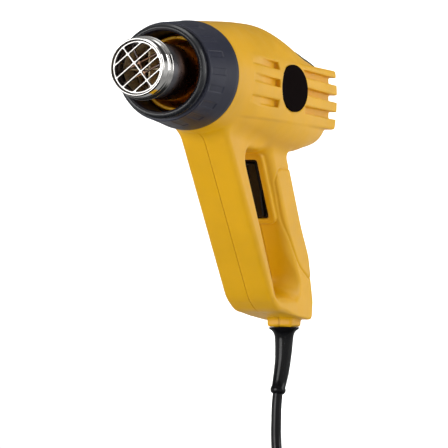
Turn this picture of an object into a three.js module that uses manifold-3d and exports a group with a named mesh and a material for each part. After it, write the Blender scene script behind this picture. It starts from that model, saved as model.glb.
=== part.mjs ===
// A hand-held hot air tool: two moulded housing halves with a D-shaped handle, a twist-off collar round
// a steel nozzle tube, a wound heater, a motor with its fan, a rocker switch, and a mains lead with its plug.
// Millimetres, +Z up, nozzle toward -Y. The drawing frame has its origin on the barrel's axis, at the
// collar's rear edge; the finished group is moved so that the origin lies at the middle of the hand grip.
import * as THREE from 'three';
import { mergeVertices } from 'three/addons/utils/BufferGeometryUtils.js';
import Module from 'manifold-3d';

const wasm = await Module();
wasm.setup();

// Overall places
const gripCentreY = 136;
const gripCentreZ = -95;
const degree = Math.PI / 180;
const clearance = 0.3;
const wall = 2.7;
const ribThickness = 1.8;
const far = 400;

// Barrel sections from the front to the rear: place along the axis, half width, top and bottom
const barrelLength = 176;
const collarRadius = 35;
const barrelSections = [
  { at: 0, side: 0, top: 0, bottom: 0 },
  { at: 0.2, side: 0.5, top: 2.4, bottom: 2.7 },
  { at: 0.4, side: 0.2, top: 4.2, bottom: 5.4 },
  { at: 0.54, side: -0.3, top: 4.1, bottom: 7.6 },
  { at: 0.68, side: -1, top: -0.7, bottom: 8.9 },
  { at: 0.8, side: -2, top: -7.5, bottom: 8.5 },
  { at: 0.9, side: -3, top: -11.4, bottom: 5.5 },
  { at: 1, side: -5, top: -15.9, bottom: 2.8 },
];
const bellySquareness = 1.4;
const barrelSides = 24;

// Side panel with its fins, seen from the side
const panelStart = 6;
const panelTip = 181;
const panelTopFront = 16;
const panelTopRear = 13.6;
const panelBottomFront = -25;
const panelBottomRear = -26.4;
const panelHalfWidth = collarRadius - 1.6;
const panelCrown = 1.7;
const grooveHeight = 4.8;
const grooveDepth = 4.2;
const finBacking = 1.6;
const grooveFrontHeights = [9.7, -1.7, -14.8];
const grooveRearHeights = [6, -5.7, -17];
const rampStart = 26;
const rampEnd = 72;
const rampDepth = 2.6;
const rampWall = 1.2;
const rampBackingLength = 28;
const rearGrooveStart = 120;
const tipOverhang = 5;

// Badge
const badgeCentreY = 99;
const badgeCentreZ = -3.2;
const badgeLength = 48;
const badgeHeight = 31;
const badgeThickness = 1.2;
const badgeStep = 0.5;

// Handle, seen from the side
const handleHalfWidth = 17;
const guardEdge = 3.6;
const gripEdge = 7;
const padStep = 0.7;
const guardDepthTop = 20;
const guardDepthFoot = 9;
const guardTop = { y: 21.5, z: -34 };
const guardKnee = { y: 31.5, z: -47 };
const gripFrontTop = { y: 99, z: -48.3 };
const gripRake = 30;
const gripDepthTop = 31.5;
const gripDepthFoot = 31;
const gripLength = 104;
const gripFoot = {
  y: gripFrontTop.y + gripLength * Math.sin(gripRake * degree),
  z: gripFrontTop.z - gripLength * Math.cos(gripRake * degree),
};
const guardFoot = { y: gripFoot.y - 48.8, z: gripFoot.z - 3.03 };
const baseFront = { y: gripFoot.y - 35, z: gripFoot.z - 10.83 };
const baseRear = { y: gripFoot.y + 25, z: gripFoot.z - 16.63 };
const baseHeel = { y: gripFoot.y + 29, z: gripFoot.z - 4.63 };
const loopTop = -44;

// Cord boss under the base
const bossY = gripFoot.y + 16;
const bossHalfLength = 9.5;
const bossHalfWidth = 9;
const bossBottom = gripFoot.z - 21.03;

// Collar
const collarLength = 45.6;
const collarLipRadius = 29.85;
const collarBore = 25.5;
const collarTierFront = 38.6;
const collarNotchFront = 36;
const collarNotchRear = 18;
const collarNotches = 18;
const collarNotchFloor = 32;
const collarSides = 28;
const spigotRadius = 31;
const spigotLength = 12;
const lugReach = 1.6;
const lugWidth = 3;
const lugAngle = 18;
const lugAngles = [0, 120, 240];
const lugFront = -7.5;
const twistAngle = 30;

// Nozzle and heater
const tubeRadius = 17.8;
const tubeWall = 0.9;
const tubeFront = -76;
const tubeFlangeY = 37.6;
const tubeFlangeRadius = 27;
const tubeFlangeThickness = 1.2;
const tipFront = -83.3;
const tipBeadY = -68.9;
const tipRimRadius = 17.75;
const tipBeadRadius = 20;
const grilleRadius = 16.6;
const grilleThickness = 1;
const grilleBar = 1.5;
const grilleTurn = -38;
const screenTurn = -25;
const micaRadius = 16.4;
const micaWall = 0.6;
const heaterFront = -66;
const heaterRear = 28;
const boardThickness = 1;
const windingWire = 0.9;
const windingRadius = 14.3;
const windingPitch = 11;
const windingTurns = 7;
const heaterBaseThickness = 5;

// Fan and motor
const ductRadius = panelHalfWidth - 5.8;
const ductWall = 1.6;
const ductFront = 58;
const ductRear = 86;
const funnelFront = 42;
const fanRadius = ductRadius - 2.2;
const fanHub = 8;
const fanFront = 62;
const fanRear = 75;
const fanBlades = 8;
const motorRadius = 18;
const motorWall = 1.4;
const motorFront = 84;
const motorRear = 128;
const shaftRadius = 1.6;
const bearingRadius = 4.5;
const armatureRadius = 12.6;
const magnetThickness = 2.6;
const endCapThickness = 4;
const boardGap = 3;

// Rear intake grille
const intakeStart = 137;
const intakeHalfWidth = 23;
const intakeSideFloor = 11;
const intakeBackReach = 14;
const intakeBackFloor = -22;
const intakeProud = 0.8;
const intakeWall = 2.2;

// Switch, in its own frame: -Y out of the grip, +Z up along it
const switchAlong = 22;
const bezelHalfWidth = 12.4;
const bezelHalfLength = 26.5;
const bezelHeight = 3.2;
const rockerHalfWidth = 6.4;
const rockerHalfLength = 18.8;
const rockerRise = 4.6;
const pivotDepth = 4;
const frameHalfWidth = 7.9;
const frameHalfLength = 21.8;
const switchDepth = 15;
const terminalLength = 5;

// Lead
const cordDiameter = 7;
const cordLength = 1800;
const reliefLength = 45;
const reliefTop = bossBottom + 12.8;
const reliefFlange = 7.6;
const reliefNeck = 5.2;
const clampY = bossY - 8.6;
const clampZ = bossBottom + 31.4;
const clampScrewReach = 7.2;
const clampThickness = 2.2;
const wireRadius = 1.1;
const floorZ = bossBottom - 112.6;
const coilInnerRadius = 28.6;
const coilPitch = 7.7;
const coilSteps = 18;
const coilSides = 6;
const tieThickness = 0.9;
const tieWidth = 12;

// Screws
const screwHead = 3.2;
const screwShank = 1.5;
const clampScrew = 0.9;
const clampPost = 2.6;
const bossRadius = 4.8;
const screwPlaces = [
  { y: 15, z: collarRadius - 7, half: 9, inBarrel: true },
  { y: 15, z: 7 - collarRadius, half: 9, inBarrel: true },
  { y: 116, z: collarRadius - 8, half: 8, inBarrel: true },
  { y: 48.5, z: -53, half: 9 },
  { y: baseFront.y + 10, z: baseFront.z + 5.2, half: 9 },
  { y: 136.5, z: -97.5, half: 9 },
];

function paint(color, roughness, metalness = 0) {
  return new THREE.MeshStandardMaterial({ color, roughness, metalness });
}

const yellow = () => paint(0xe2ab2a, 0.42);
const blackPlastic = () => paint(0x16161a, 0.5);
const collarPlastic = () => paint(0x2a2e3a, 0.55);
const rubber = () => paint(0x141416, 0.6);
const chrome = () => paint(0xcfcac4, 0.2, 1);
const darkSteel = () => paint(0x4a4a50, 0.4, 1);
const brightSteel = () => paint(0xb4b6ba, 0.35, 1);
const mica = () => paint(0xc9ae82, 0.7);
const ceramic = () => paint(0xe4dcc8, 0.7);
const copper = () => paint(0xb56b3a, 0.35, 1);
const brass = () => paint(0xc9a54c, 0.35, 1);

// Turns any closed geometry into a solid with its faces pointing out
function solid(geometry) {
  const bare = geometry.clone();
  bare.deleteAttribute('normal');
  bare.deleteAttribute('uv');
  const joined = mergeVertices(bare, 1e-4);
  const place = joined.attributes.position;
  const index = joined.index.array;
  const corners = [];
  let volume = 0;
  const a = new THREE.Vector3();
  const b = new THREE.Vector3();
  const c = new THREE.Vector3();
  for (let i = 0; i < index.length; i += 3) {
    const [p, q, r] = [index[i], index[i + 1], index[i + 2]];
    if (p === q || q === r || r === p) continue;
    corners.push(p, q, r);
    a.fromBufferAttribute(place, p);
    b.fromBufferAttribute(place, q);
    c.fromBufferAttribute(place, r);
    volume += a.dot(b.cross(c));
  }
  if (volume < 0) {
    for (let i = 0; i < corners.length; i += 3) {
      [corners[i], corners[i + 1]] = [corners[i + 1], corners[i]];
    }
  }
  return new wasm.Manifold(new wasm.Mesh({
    numProp: 3,
    vertProperties: new Float32Array(place.array),
    triVerts: new Uint32Array(corners),
  }));
}

function geometryOf(body) {
  const mesh = body.getMesh();
  const geometry = new THREE.BufferGeometry();
  geometry.setAttribute('position', new THREE.BufferAttribute(new Float32Array(mesh.vertProperties), 3));
  geometry.setIndex(new THREE.BufferAttribute(new Uint32Array(mesh.triVerts), 1));
  geometry.computeVertexNormals();
  return geometry;
}

function union(...bodies) {
  return bodies.reduce((sum, body) => sum.add(body));
}

function cut(body, ...tools) {
  return tools.reduce((rest, tool) => rest.subtract(tool), body);
}

// The same body turned round the barrel's axis by an angle in degrees
function spun(body, angle) {
  return solid(geometryOf(body).rotateY(angle * degree));
}

function mirrored(body) {
  return solid(geometryOf(body).scale(-1, 1, 1));
}

function box(x0, x1, y0, y1, z0, z1) {
  const geometry = new THREE.BoxGeometry(x1 - x0, y1 - y0, z1 - z0);
  return solid(geometry.translate((x0 + x1) / 2, (y0 + y1) / 2, (z0 + z1) / 2));
}

// A body of revolution round the barrel's axis from a closed profile of [radius, place along the axis]
function turned(profile, segments = 24) {
  const points = [...profile, profile[0]].map(([r, y]) => new THREE.Vector2(r, y));
  return solid(new THREE.LatheGeometry(points, segments));
}

function ring(outer, inner, y0, y1, segments = 24) {
  return turned([[inner, y0], [outer, y0], [outer, y1], [inner, y1]], segments);
}

function disc(radius, y0, y1, segments = 20) {
  const geometry = new THREE.CylinderGeometry(radius, radius, y1 - y0, segments);
  return solid(geometry.translate(0, (y0 + y1) / 2, 0));
}

// A pin of the given radius between two places on X
function pinX(radius, x0, x1, y, z, segments = 10) {
  const geometry = new THREE.CylinderGeometry(radius, radius, x1 - x0, segments);
  geometry.rotateZ(Math.PI / 2);
  return solid(geometry.translate((x0 + x1) / 2, y, z));
}

// A side view outline of { y, z, r } corners, each rounded by its radius r
function rounded(corners, steps = 2) {
  const outline = [];
  corners.forEach((corner, i) => {
    const here = new THREE.Vector2(corner.y, corner.z);
    const before = corners[(i + corners.length - 1) % corners.length];
    const after = corners[(i + 1) % corners.length];
    const back = new THREE.Vector2(before.y, before.z).sub(here).normalize();
    const on = new THREE.Vector2(after.y, after.z).sub(here).normalize();
    const half = Math.acos(THREE.MathUtils.clamp(back.dot(on), -1, 1)) / 2;
    if (!corner.r) {
      outline.push(here);
      return;
    }
    const reach = corner.r / Math.tan(half);
    const centre = here.clone().add(back.clone().add(on).normalize().multiplyScalar(corner.r / Math.sin(half)));
    const start = here.clone().addScaledVector(back, reach).sub(centre);
    const end = here.clone().addScaledVector(on, reach).sub(centre);
    const sweep = Math.atan2(start.cross(end), start.dot(end));
    for (let k = 0; k <= steps; k += 1) {
      outline.push(start.clone().rotateAround(new THREE.Vector2(), sweep * k / steps).add(centre));
    }
  });
  return outline;
}

// Moves every edge of an outline inward by a distance, or outward where it is negative
function inset(outline, distance) {
  const turn = THREE.ShapeUtils.isClockWise(outline) ? -1 : 1;
  return outline.map((point, i) => {
    const before = outline[(i + outline.length - 1) % outline.length];
    const after = outline[(i + 1) % outline.length];
    const d0 = point.clone().sub(before).normalize();
    const d1 = after.clone().sub(point).normalize();
    const n0 = new THREE.Vector2(-d0.y, d0.x).multiplyScalar(turn);
    const n1 = new THREE.Vector2(-d1.y, d1.x).multiplyScalar(turn);
    const middle = n0.add(n1).normalize();
    const stretch = Math.max(middle.dot(n1), 0.35);
    return point.clone().addScaledVector(middle, distance / stretch);
  });
}

// Extrudes a side view outline along X with rounded edges
function slab(outline, halfWidth, edge = 0, holes = [], steps = 2) {
  const shape = new THREE.Shape(outline);
  shape.holes = holes.map((hole) => new THREE.Path(hole));
  const geometry = new THREE.ExtrudeGeometry(shape, {
    depth: 2 * (halfWidth - edge),
    bevelEnabled: edge > 0,
    bevelThickness: edge,
    bevelSize: edge,
    bevelOffset: -edge,
    bevelSegments: steps,
    curveSegments: 4,
  });
  geometry.translate(0, 0, -(halfWidth - edge));
  const toSide = new THREE.Matrix4().set(0, 0, 1, 0, 1, 0, 0, 0, 0, 1, 0, 0, 0, 0, 0, 1);
  return solid(geometry.applyMatrix4(toSide));
}

// A closed skin over rings of points, with a flat cap at each end
function loft(rings) {
  const count = rings[0].length;
  const positions = [];
  const faces = [];
  rings.forEach((points) => points.forEach((p) => positions.push(p.x, p.y, p.z)));
  for (let j = 0; j + 1 < rings.length; j += 1) {
    for (let i = 0; i < count; i += 1) {
      const a = j * count + i;
      const b = j * count + (i + 1) % count;
      faces.push(a, b, b + count, a, b + count, a + count);
    }
  }
  [0, rings.length - 1].forEach((j) => {
    const middle = new THREE.Vector3();
    rings[j].forEach((p) => middle.addScaledVector(p, 1 / count));
    const hub = positions.length / 3;
    positions.push(middle.x, middle.y, middle.z);
    for (let i = 0; i < count; i += 1) {
      const a = j * count + i;
      const b = j * count + (i + 1) % count;
      if (j === 0) faces.push(hub, b, a);
      else faces.push(hub, a, b);
    }
  });
  const geometry = new THREE.BufferGeometry();
  geometry.setAttribute('position', new THREE.Float32BufferAttribute(positions, 3));
  geometry.setIndex(faces);
  return geometry;
}

// A closed tube through points with a radius at each, its rings square to the path
function sweep(points, radii, sides, spin = 0) {
  let side = new THREE.Vector3(1, 0, 0);
  const rings = points.map((point, i) => {
    const before = points[Math.max(i - 1, 0)];
    const after = points[Math.min(i + 1, points.length - 1)];
    const along = after.clone().sub(before).normalize();
    side = side.clone().addScaledVector(along, -side.dot(along)).normalize();
    const up = along.clone().cross(side);
    return Array.from({ length: sides }, (_, k) => {
      const angle = 2 * Math.PI * k / sides + spin;
      return point.clone()
        .addScaledVector(side, radii[i] * Math.cos(angle))
        .addScaledVector(up, radii[i] * Math.sin(angle));
    });
  });
  return loft(rings);
}

// A plain tube along a curve through hand-placed points
function tube(points, radius, sides, steps) {
  const path = new THREE.CatmullRomCurve3(points.map((p) => new THREE.Vector3(...p)), false, 'centripetal');
  const section = new THREE.Shape();
  for (let k = 0; k < sides; k += 1) {
    const angle = 2 * Math.PI * k / sides;
    const corner = [radius * Math.cos(angle), radius * Math.sin(angle)];
    if (k === 0) section.moveTo(...corner);
    else section.lineTo(...corner);
  }
  return new THREE.ExtrudeGeometry(section, { steps, bevelEnabled: false, extrudePath: path });
}

const root = new THREE.Group();
const tool = new THREE.Group();
tool.position.set(0, -gripCentreY, -gripCentreZ);
root.add(tool);

function piece(name, shape, material, parent = tool) {
  const geometry = shape.isBufferGeometry ? geometryOf(solid(shape)) : geometryOf(shape);
  const mesh = new THREE.Mesh(geometry, material);
  mesh.name = name;
  parent.add(mesh);
  return mesh;
}

// The barrel's half width, top and bottom at a place along its axis
function barrelAt(y) {
  const t = THREE.MathUtils.clamp(y / barrelLength, 0, 1);
  const k = barrelSections.findIndex((section) => section.at >= t);
  const b = barrelSections[Math.max(k, 1)];
  const a = barrelSections[Math.max(k, 1) - 1];
  const s = (t - a.at) / (b.at - a.at);
  const mix = (key) => collarRadius + a[key] + (b[key] - a[key]) * s;
  return { side: mix('side'), top: mix('top'), bottom: mix('bottom') };
}

function barrelBody(offset, start, end) {
  const rings = [];
  const places = barrelSections.map((section) => section.at * barrelLength).filter((y) => y > start && y < end);
  [start, ...places, end].forEach((y) => {
    const { side, top, bottom } = barrelAt(y);
    const square = 2 + bellySquareness * THREE.MathUtils.smoothstep(y, 20, 160);
    rings.push(Array.from({ length: barrelSides }, (_, k) => {
      const angle = 2 * Math.PI * k / barrelSides;
      const power = Math.sin(angle) < 0 ? 2 / square : 1;
      const x = Math.sign(Math.cos(angle)) * Math.abs(Math.cos(angle)) ** power * (side + offset);
      const high = Math.abs(Math.sin(angle)) ** power;
      const z = Math.sin(angle) < 0 ? -high * (bottom + offset) : high * (top + offset);
      return new THREE.Vector3(x, y, z);
    }));
  });
  return solid(loft(rings));
}

// The side panel's outer surface at a place along the barrel and a height
function panelX(y, z) {
  const { side, top, bottom } = barrelAt(y);
  const tall = z < 0 ? bottom : top;
  const round = side * Math.sqrt(Math.max(1 - (z / tall) ** 2, 0));
  const middle = (panelTopFront + panelBottomFront) / 2;
  const flat = panelHalfWidth - panelCrown * ((z - middle) / (panelTopFront - middle)) ** 2;
  const blend = THREE.MathUtils.smoothstep(y, panelStart, 95);
  return round + (flat - round) * blend + 0.25;
}

function along(front, rear, y) {
  return front + (rear - front) * (y - panelStart) / (panelTip - panelStart);
}

// One side's panel: a bar whose outer face follows the barrel at the front and stands off it at the rear
function panel() {
  const places = [panelStart, 25, 45, 70, 95, 130, panelTip];
  const rings = places.map((y) => {
    const top = along(panelTopFront, panelTopRear, y);
    const bottom = along(panelBottomFront, panelBottomRear, y);
    const heights = [1, 0.94, 0.72, 0.28, 0.06, 0].map((t) => bottom + (top - bottom) * t);
    const outer = heights.map((z, k) => {
      const shoulder = k === 0 || k === heights.length - 1 ? 0.9 : 0;
      return new THREE.Vector3(panelX(y, z) - shoulder, y, z);
    });
    return [...outer, new THREE.Vector3(14, y, bottom), new THREE.Vector3(14, y, top)];
  });
  return solid(loft(rings));
}

// The middle height of a groove at a place along the barrel
function grooveAt(i, y) {
  const [front, rear] = [grooveFrontHeights[i], grooveRearHeights[i]];
  return front + (rear - front) * (y - rampEnd) / (panelTip - rampEnd);
}

// Grooves between the fins: a ramp before the badge, and an open slot behind it
function grooves() {
  return grooveFrontHeights.flatMap((front, i) => {
    const block = (y, x0) => {
      const [low, high] = [grooveAt(i, y) - grooveHeight / 2, grooveAt(i, y) + grooveHeight / 2];
      return [[x0, low], [far, low], [far, high], [x0, high]].map(([x, z]) => new THREE.Vector3(x, y, z));
    };
    const ramp = loft([
      block(rampStart, panelX(rampStart, front) + 0.1),
      block(rampEnd, panelX(rampEnd, front) - rampDepth),
    ]);
    const slot = loft([
      block(rearGrooveStart, panelHalfWidth - grooveDepth),
      block(panelTip - tipOverhang, panelHalfWidth - grooveDepth),
    ]);
    const mouth = loft([
      block(panelTip - tipOverhang, 10),
      block(panelTip + 10, 10),
    ]);
    return [solid(ramp), solid(slot), solid(mouth)];
  });
}

// Side view lines of the handle
const rakeDirection = new THREE.Vector2(Math.sin(gripRake * degree), -Math.cos(gripRake * degree));

function gripFront(t) {
  return { y: gripFrontTop.y + rakeDirection.x * t, z: gripFrontTop.z + rakeDirection.y * t };
}

function gripRear(t) {
  const front = gripFront(t);
  const depth = gripDepthTop + (gripDepthFoot - gripDepthTop) * t / gripLength;
  return { y: front.y + depth * Math.cos(gripRake * degree), z: front.z + depth * Math.sin(gripRake * degree) };
}

const handleOutline = rounded([
  { ...guardTop },
  { ...guardKnee },
  { ...guardFoot, r: 22 },
  { ...baseFront, r: 26 },
  { ...baseRear, r: 5 },
  { ...baseHeel, r: 8 },
  { ...gripRear(gripLength - 14), r: 40 },
  { ...gripRear(2), r: 22 },
  { y: gripRear(0).y + 4, z: -18 },
  { y: guardTop.y, z: -18 },
]);

// The part of the handle between the barrel and the base, which the rounder grip fills
const gripZone = [
  { y: gripFront(-20).y, z: gripFront(-20).z },
  gripFront(gripLength - 10),
  { y: baseHeel.y + 20, z: gripFront(gripLength - 10).z - 6 },
  { y: baseHeel.y + 20, z: gripFront(-20).z },
].map(({ y, z }) => new THREE.Vector2(y, z));

const gripOutline = rounded([
  { y: gripFrontTop.y - 12, z: -8 },
  { y: gripFrontTop.y - 9, z: loopTop - 1 },
  { ...gripFront(6), r: 12 },
  { ...gripFront(gripLength - 8) },
  { y: gripFront(gripLength - 8).y, z: baseRear.z + 5 },
  { y: baseHeel.y - 0.5, z: baseRear.z + 5, r: 10 },
  { ...gripRear(gripLength - 14), r: 40 },
  { ...gripRear(2), r: 22 },
  { y: gripRear(0).y + 4, z: -8 },
]);

const loopOutline = rounded([
  { y: guardKnee.y + guardDepthTop, z: loopTop, r: 7 },
  { y: gripFront(0).y - 4, z: loopTop, r: 8 },
  { ...gripFront(5), r: 14 },
  { ...gripFront(gripLength - 3), r: 9 },
  { y: guardFoot.y + guardDepthFoot, z: guardFoot.z + 2.4, r: 9 },
]);

// The raised palm pad on each side of the grip, with its open side behind the grip
function behindFront(t, reach) {
  const front = gripFront(t);
  return {
    y: front.y + reach * Math.cos(gripRake * degree),
    z: front.z + reach * Math.sin(gripRake * degree),
  };
}

const padOutline = rounded([
  { ...behindFront(9, 3), r: 7 },
  { ...behindFront(42, 60) },
  { ...behindFront(103, 60) },
  { ...behindFront(104, 22) },
  { ...behindFront(86, 9.5), r: 40 },
  { ...behindFront(50, 2.2), r: 60 },
]);

// The switch's frame on the grip's front face
const switchPlace = gripFront(switchAlong);
const switchMatrix = new THREE.Matrix4()
  .makeTranslation(0, switchPlace.y, switchPlace.z)
  .multiply(new THREE.Matrix4().makeRotationX(gripRake * degree));

function atSwitch(body) {
  return solid(geometryOf(body).applyMatrix4(switchMatrix));
}

function screwCuts(place) {
  const head = pinX(screwHead + clearance, -far, -place.half, place.y, place.z, 10);
  const shank = pinX(screwShank + clearance, -place.half - 1, place.half + 1.5, place.y, place.z, 6);
  return union(head, shank);
}

// Thicker wall behind the deep end of each ramp
function rampBacking() {
  const half = grooveHeight / 2 + rampWall;
  return union(...grooveFrontHeights.map((front, i) => {
    const floor = panelX(rampEnd, front) - rampDepth;
    const z = grooveAt(i, rampEnd);
    return box(floor - rampWall, far, rampEnd - rampBackingLength, rampEnd + rampWall, z - half, z + half);
  }));
}

function innerRing(y0, y1, inner) {
  return ring(60, inner, y0, y1, 16);
}

function baseCavity() {
  const outer = inset(handleOutline, wall);
  const loopBand = slab(inset(loopOutline, -wall), far);
  return cut(slab(outer, handleHalfWidth - wall), loopBand, box(-far, far, gripFront(0).y, far, -60, far));
}

function housing() {
  const loopHole = slab(loopOutline, handleHalfWidth, 0);
  const frame = cut(slab(handleOutline, handleHalfWidth, guardEdge, [loopOutline]), slab(gripZone, far));
  const gripBody = slab(gripOutline, handleHalfWidth, gripEdge);
  const swollen = slab(inset(gripOutline, -padStep), handleHalfWidth + padStep, gripEdge);
  const pad = slab(padOutline, far).intersect(swollen);
  const bezel = atSwitch(slabAt(-bezelHeight, 9, bezelHalfWidth, bezelHalfLength, 4));
  const bossBox = slab(rounded([
    { y: bossY - bossHalfLength, z: bossBottom + 10.4 },
    { y: bossY + bossHalfLength, z: bossBottom + 10.4 },
    { y: bossY + bossHalfLength - 1.2, z: bossBottom, r: 1.6 },
    { y: bossY - bossHalfLength + 1.2, z: bossBottom, r: 1.6 },
  ], 2), bossHalfWidth, 1.2, [], 2);
  const panelRight = panel();
  const barrel = union(barrelBody(0, 0, barrelLength), panelRight, mirrored(panelRight));
  const grooveRight = grooves();
  const badgeSeat = badgeBody(panelX(badgeCentreY, badgeCentreZ) - badgeStep - 0.1, far, clearance);
  const spigot = disc(spigotRadius, -spigotLength, 2, collarSides);
  const outer = union(
    cut(barrel, ...grooveRight, ...grooveRight.map(mirrored)),
    cut(frame, barrelBody(-wall, 1, barrelLength - wall)),
    cut(gripBody, loopHole),
    pad,
    cut(bezel, box(-far, far, 0, guardKnee.y, -far, far)),
    bossBox,
    spigot,
    ...lugAngles.map(lug),
  );
  const finRoot = panelHalfWidth - grooveDepth - finBacking;
  const backing = box(finRoot, far, rearGrooveStart - 3, far, -far, far);
  const behindRamps = rampBacking();
  const barrelHollow = cut(
    barrelBody(-wall, wall, barrelLength - wall), backing, mirrored(backing), behindRamps, mirrored(behindRamps),
  );
  const noseHole = disc(nozzleHole(), -far, wall + 1, 18);
  const spigotHollow = disc(spigotRadius - 2, -spigotLength - 1, wall + 1, 24);
  const gripHollow = slab(inset(gripOutline, wall), handleHalfWidth - wall, 4, [], 2);
  const hollow = union(barrelHollow, noseHole, spigotHollow, baseCavity(), gripHollow);
  const seats = union(
    innerRing(tubeFlangeY - clearance - ribThickness, tubeFlangeY - clearance, tubeRadius + 2),
    innerRing(
      tubeFlangeY + tubeFlangeThickness + clearance,
      tubeFlangeY + tubeFlangeThickness + clearance + ribThickness,
      tubeRadius + 4,
    ),
  );
  const leadNotch = box(-9, 9, 30, 50, -far, -tubeFlangeRadius - 1.2);
  const bosses = screwPlaces.filter((place) => place.inBarrel)
    .map((place) => pinX(bossRadius, -far, far, place.y, place.z, 8));
  const posts = screwPlaces.filter((place) => !place.inBarrel)
    .map((place) => pinX(bossRadius, -handleHalfWidth + 1, handleHalfWidth - 1, place.y, place.z, 8));
  const middleOfWall = barrelBody(-wall / 2, 0.5, barrelLength - 1);
  const insideBarrel = union(cut(seats, leadNotch), ...bosses).intersect(middleOfWall);
  return cut(
    union(outer.subtract(hollow), insideBarrel, noseRing(), ...posts),
    ...screwPlaces.map(screwCuts),
    atSwitch(box(
      -frameHalfWidth - clearance, frameHalfWidth + clearance,
      -bezelHeight - 1, wall + 3, -frameHalfLength - clearance, frameHalfLength + clearance,
    )),
    atSwitch(switchRoom()),
    reliefHole(),
    intakeWindow(clearance),
    badgeSeat,
    mirrored(badgeSeat),
  );
}

// A rounded block standing on the switch's face, between two depths
function slabAt(y0, y1, halfWidth, halfLength, corner) {
  const shape = new THREE.Shape();
  const [w, l, c] = [halfWidth, halfLength, corner];
  shape.moveTo(-w + c, -l);
  shape.lineTo(w - c, -l);
  shape.absarc(w - c, -l + c, c, -Math.PI / 2, 0, false);
  shape.absarc(w - c, l - c, c, 0, Math.PI / 2, false);
  shape.absarc(-w + c, l - c, c, Math.PI / 2, Math.PI, false);
  shape.absarc(-w + c, -l + c, c, Math.PI, Math.PI * 1.5, false);
  const geometry = new THREE.ExtrudeGeometry(shape, { depth: y1 - y0, bevelEnabled: false, curveSegments: 2 });
  geometry.rotateX(Math.PI / 2);
  geometry.translate(0, y1, 0);
  return solid(geometry);
}

// Room behind the switch opening for the switch's body and its retaining wings
function switchRoom() {
  return box(-11.6, 11.6, wall + 0.2, wall + 8, -24.6, 24.6);
}

// An oval plate's prism on the right side between two places on X
function badgeBody(x0, x1, grow) {
  const shape = new THREE.Shape();
  shape.absellipse(badgeCentreY, badgeCentreZ, badgeLength / 2 + grow, badgeHeight / 2 + grow, 0, 2 * Math.PI);
  const geometry = new THREE.ExtrudeGeometry(shape, { depth: x1 - x0, bevelEnabled: false, curveSegments: 20 });
  const toSide = new THREE.Matrix4().set(0, 0, 1, x0, 1, 0, 0, 0, 0, 1, 0, 0, 0, 0, 0, 1);
  return solid(geometry.applyMatrix4(toSide));
}

function nozzleHole() {
  return tubeRadius + 4;
}

// The nose ring inside the collar: a short tube on three webs, open between them
function noseRing() {
  const inner = ring(nozzleHole() + 2, nozzleHole(), -20, wall, 18);
  const webs = [30, 150, 270].map((angle) => {
    const web = box(nozzleHole() + 1, spigotRadius - 1, -9, wall, -1.5, 1.5);
    return spun(web, angle);
  });
  return union(inner, ...webs);
}

// A block that follows the spigot's surface between two angles and two places along the axis
function arcBlock(outer, start, end, y0, y1) {
  const inner = spigotRadius - 1;
  const steps = Math.ceil((end - start) / 8);
  const shape = new THREE.Shape();
  shape.absarc(0, 0, outer, start * degree, end * degree, false);
  shape.absarc(0, 0, inner, end * degree, start * degree, true);
  const options = { depth: y1 - y0, bevelEnabled: false, curveSegments: steps };
  const geometry = new THREE.ExtrudeGeometry(shape, options);
  return solid(geometry.rotateX(Math.PI / 2).translate(0, y1, 0));
}

// A bayonet lug on the spigot
function lug(angle) {
  const half = lugAngle / 2;
  return arcBlock(spigotRadius + lugReach, angle - half, angle + half, lugFront, lugFront + lugWidth);
}

// The room that a lug needs in the collar: a track to turn in and a way out at the far end of it
function lugRoom(angle) {
  const outer = spigotRadius + lugReach + clearance;
  const grow = clearance / spigotRadius / degree;
  const start = angle - lugAngle / 2 - grow;
  const end = angle + lugAngle / 2 + twistAngle + grow;
  return union(
    arcBlock(outer, start, end, lugFront - clearance, lugFront + lugWidth + clearance),
    arcBlock(outer, start + twistAngle, end, lugFront - clearance, 1),
  );
}

// The lead's strain relief, its hole in the base, and the clamp above it
const clampX = -cordDiameter / 2 - clearance;

function clampAt(side) {
  return { y: clampY + side * clampScrewReach, z: clampZ };
}

function reliefHole() {
  const hole = new THREE.CylinderGeometry(reliefNeck + 0.4, reliefNeck + 0.4, 30, 20);
  const pocket = new THREE.CylinderGeometry(reliefFlange + 0.4, reliefFlange + 0.4, 4, 20);
  hole.rotateX(Math.PI / 2).translate(0, bossY, bossBottom);
  pocket.rotateX(Math.PI / 2).translate(0, bossY, reliefTop - 1.2);
  const channel = new THREE.CylinderGeometry(cordDiameter / 2 + 1.5, cordDiameter / 2 + 1.5, 24, 16);
  channel.rotateX(Math.PI / 2).translate(0, bossY - 2, reliefTop + 6);
  return union(solid(hole), solid(pocket), solid(channel));
}

function intakeWindow(grow) {
  const outline = rounded([
    { y: intakeStart - grow, z: 60 },
    { y: intakeStart - grow, z: intakeSideFloor - grow },
    { y: barrelLength - intakeBackReach - grow, z: intakeSideFloor - grow },
    { y: barrelLength - intakeBackReach - grow, z: intakeBackFloor - grow },
    { y: barrelLength + 20, z: intakeBackFloor - grow },
    { y: barrelLength + 20, z: 60 },
  ], 1);
  return slab(outline, intakeHalfWidth + grow);
}

// Two posts inside the right half that carry the lead's clamp
function clampPosts() {
  return [-1, 1].map((side) => {
    const { y, z } = clampAt(side);
    const post = pinX(clampPost, clampX, handleHalfWidth - 1, y, z);
    return cut(post, pinX(clampScrew + clearance, clampX - 1, clampX + 9, y, z, 8));
  });
}

const shell = housing();
const rightSide = box(clearance / 2, far, -far, far, -far, far);
piece('housing_right', union(shell.intersect(rightSide), ...clampPosts()), yellow());
piece('housing_left', shell.intersect(mirrored(rightSide)), yellow());

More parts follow.
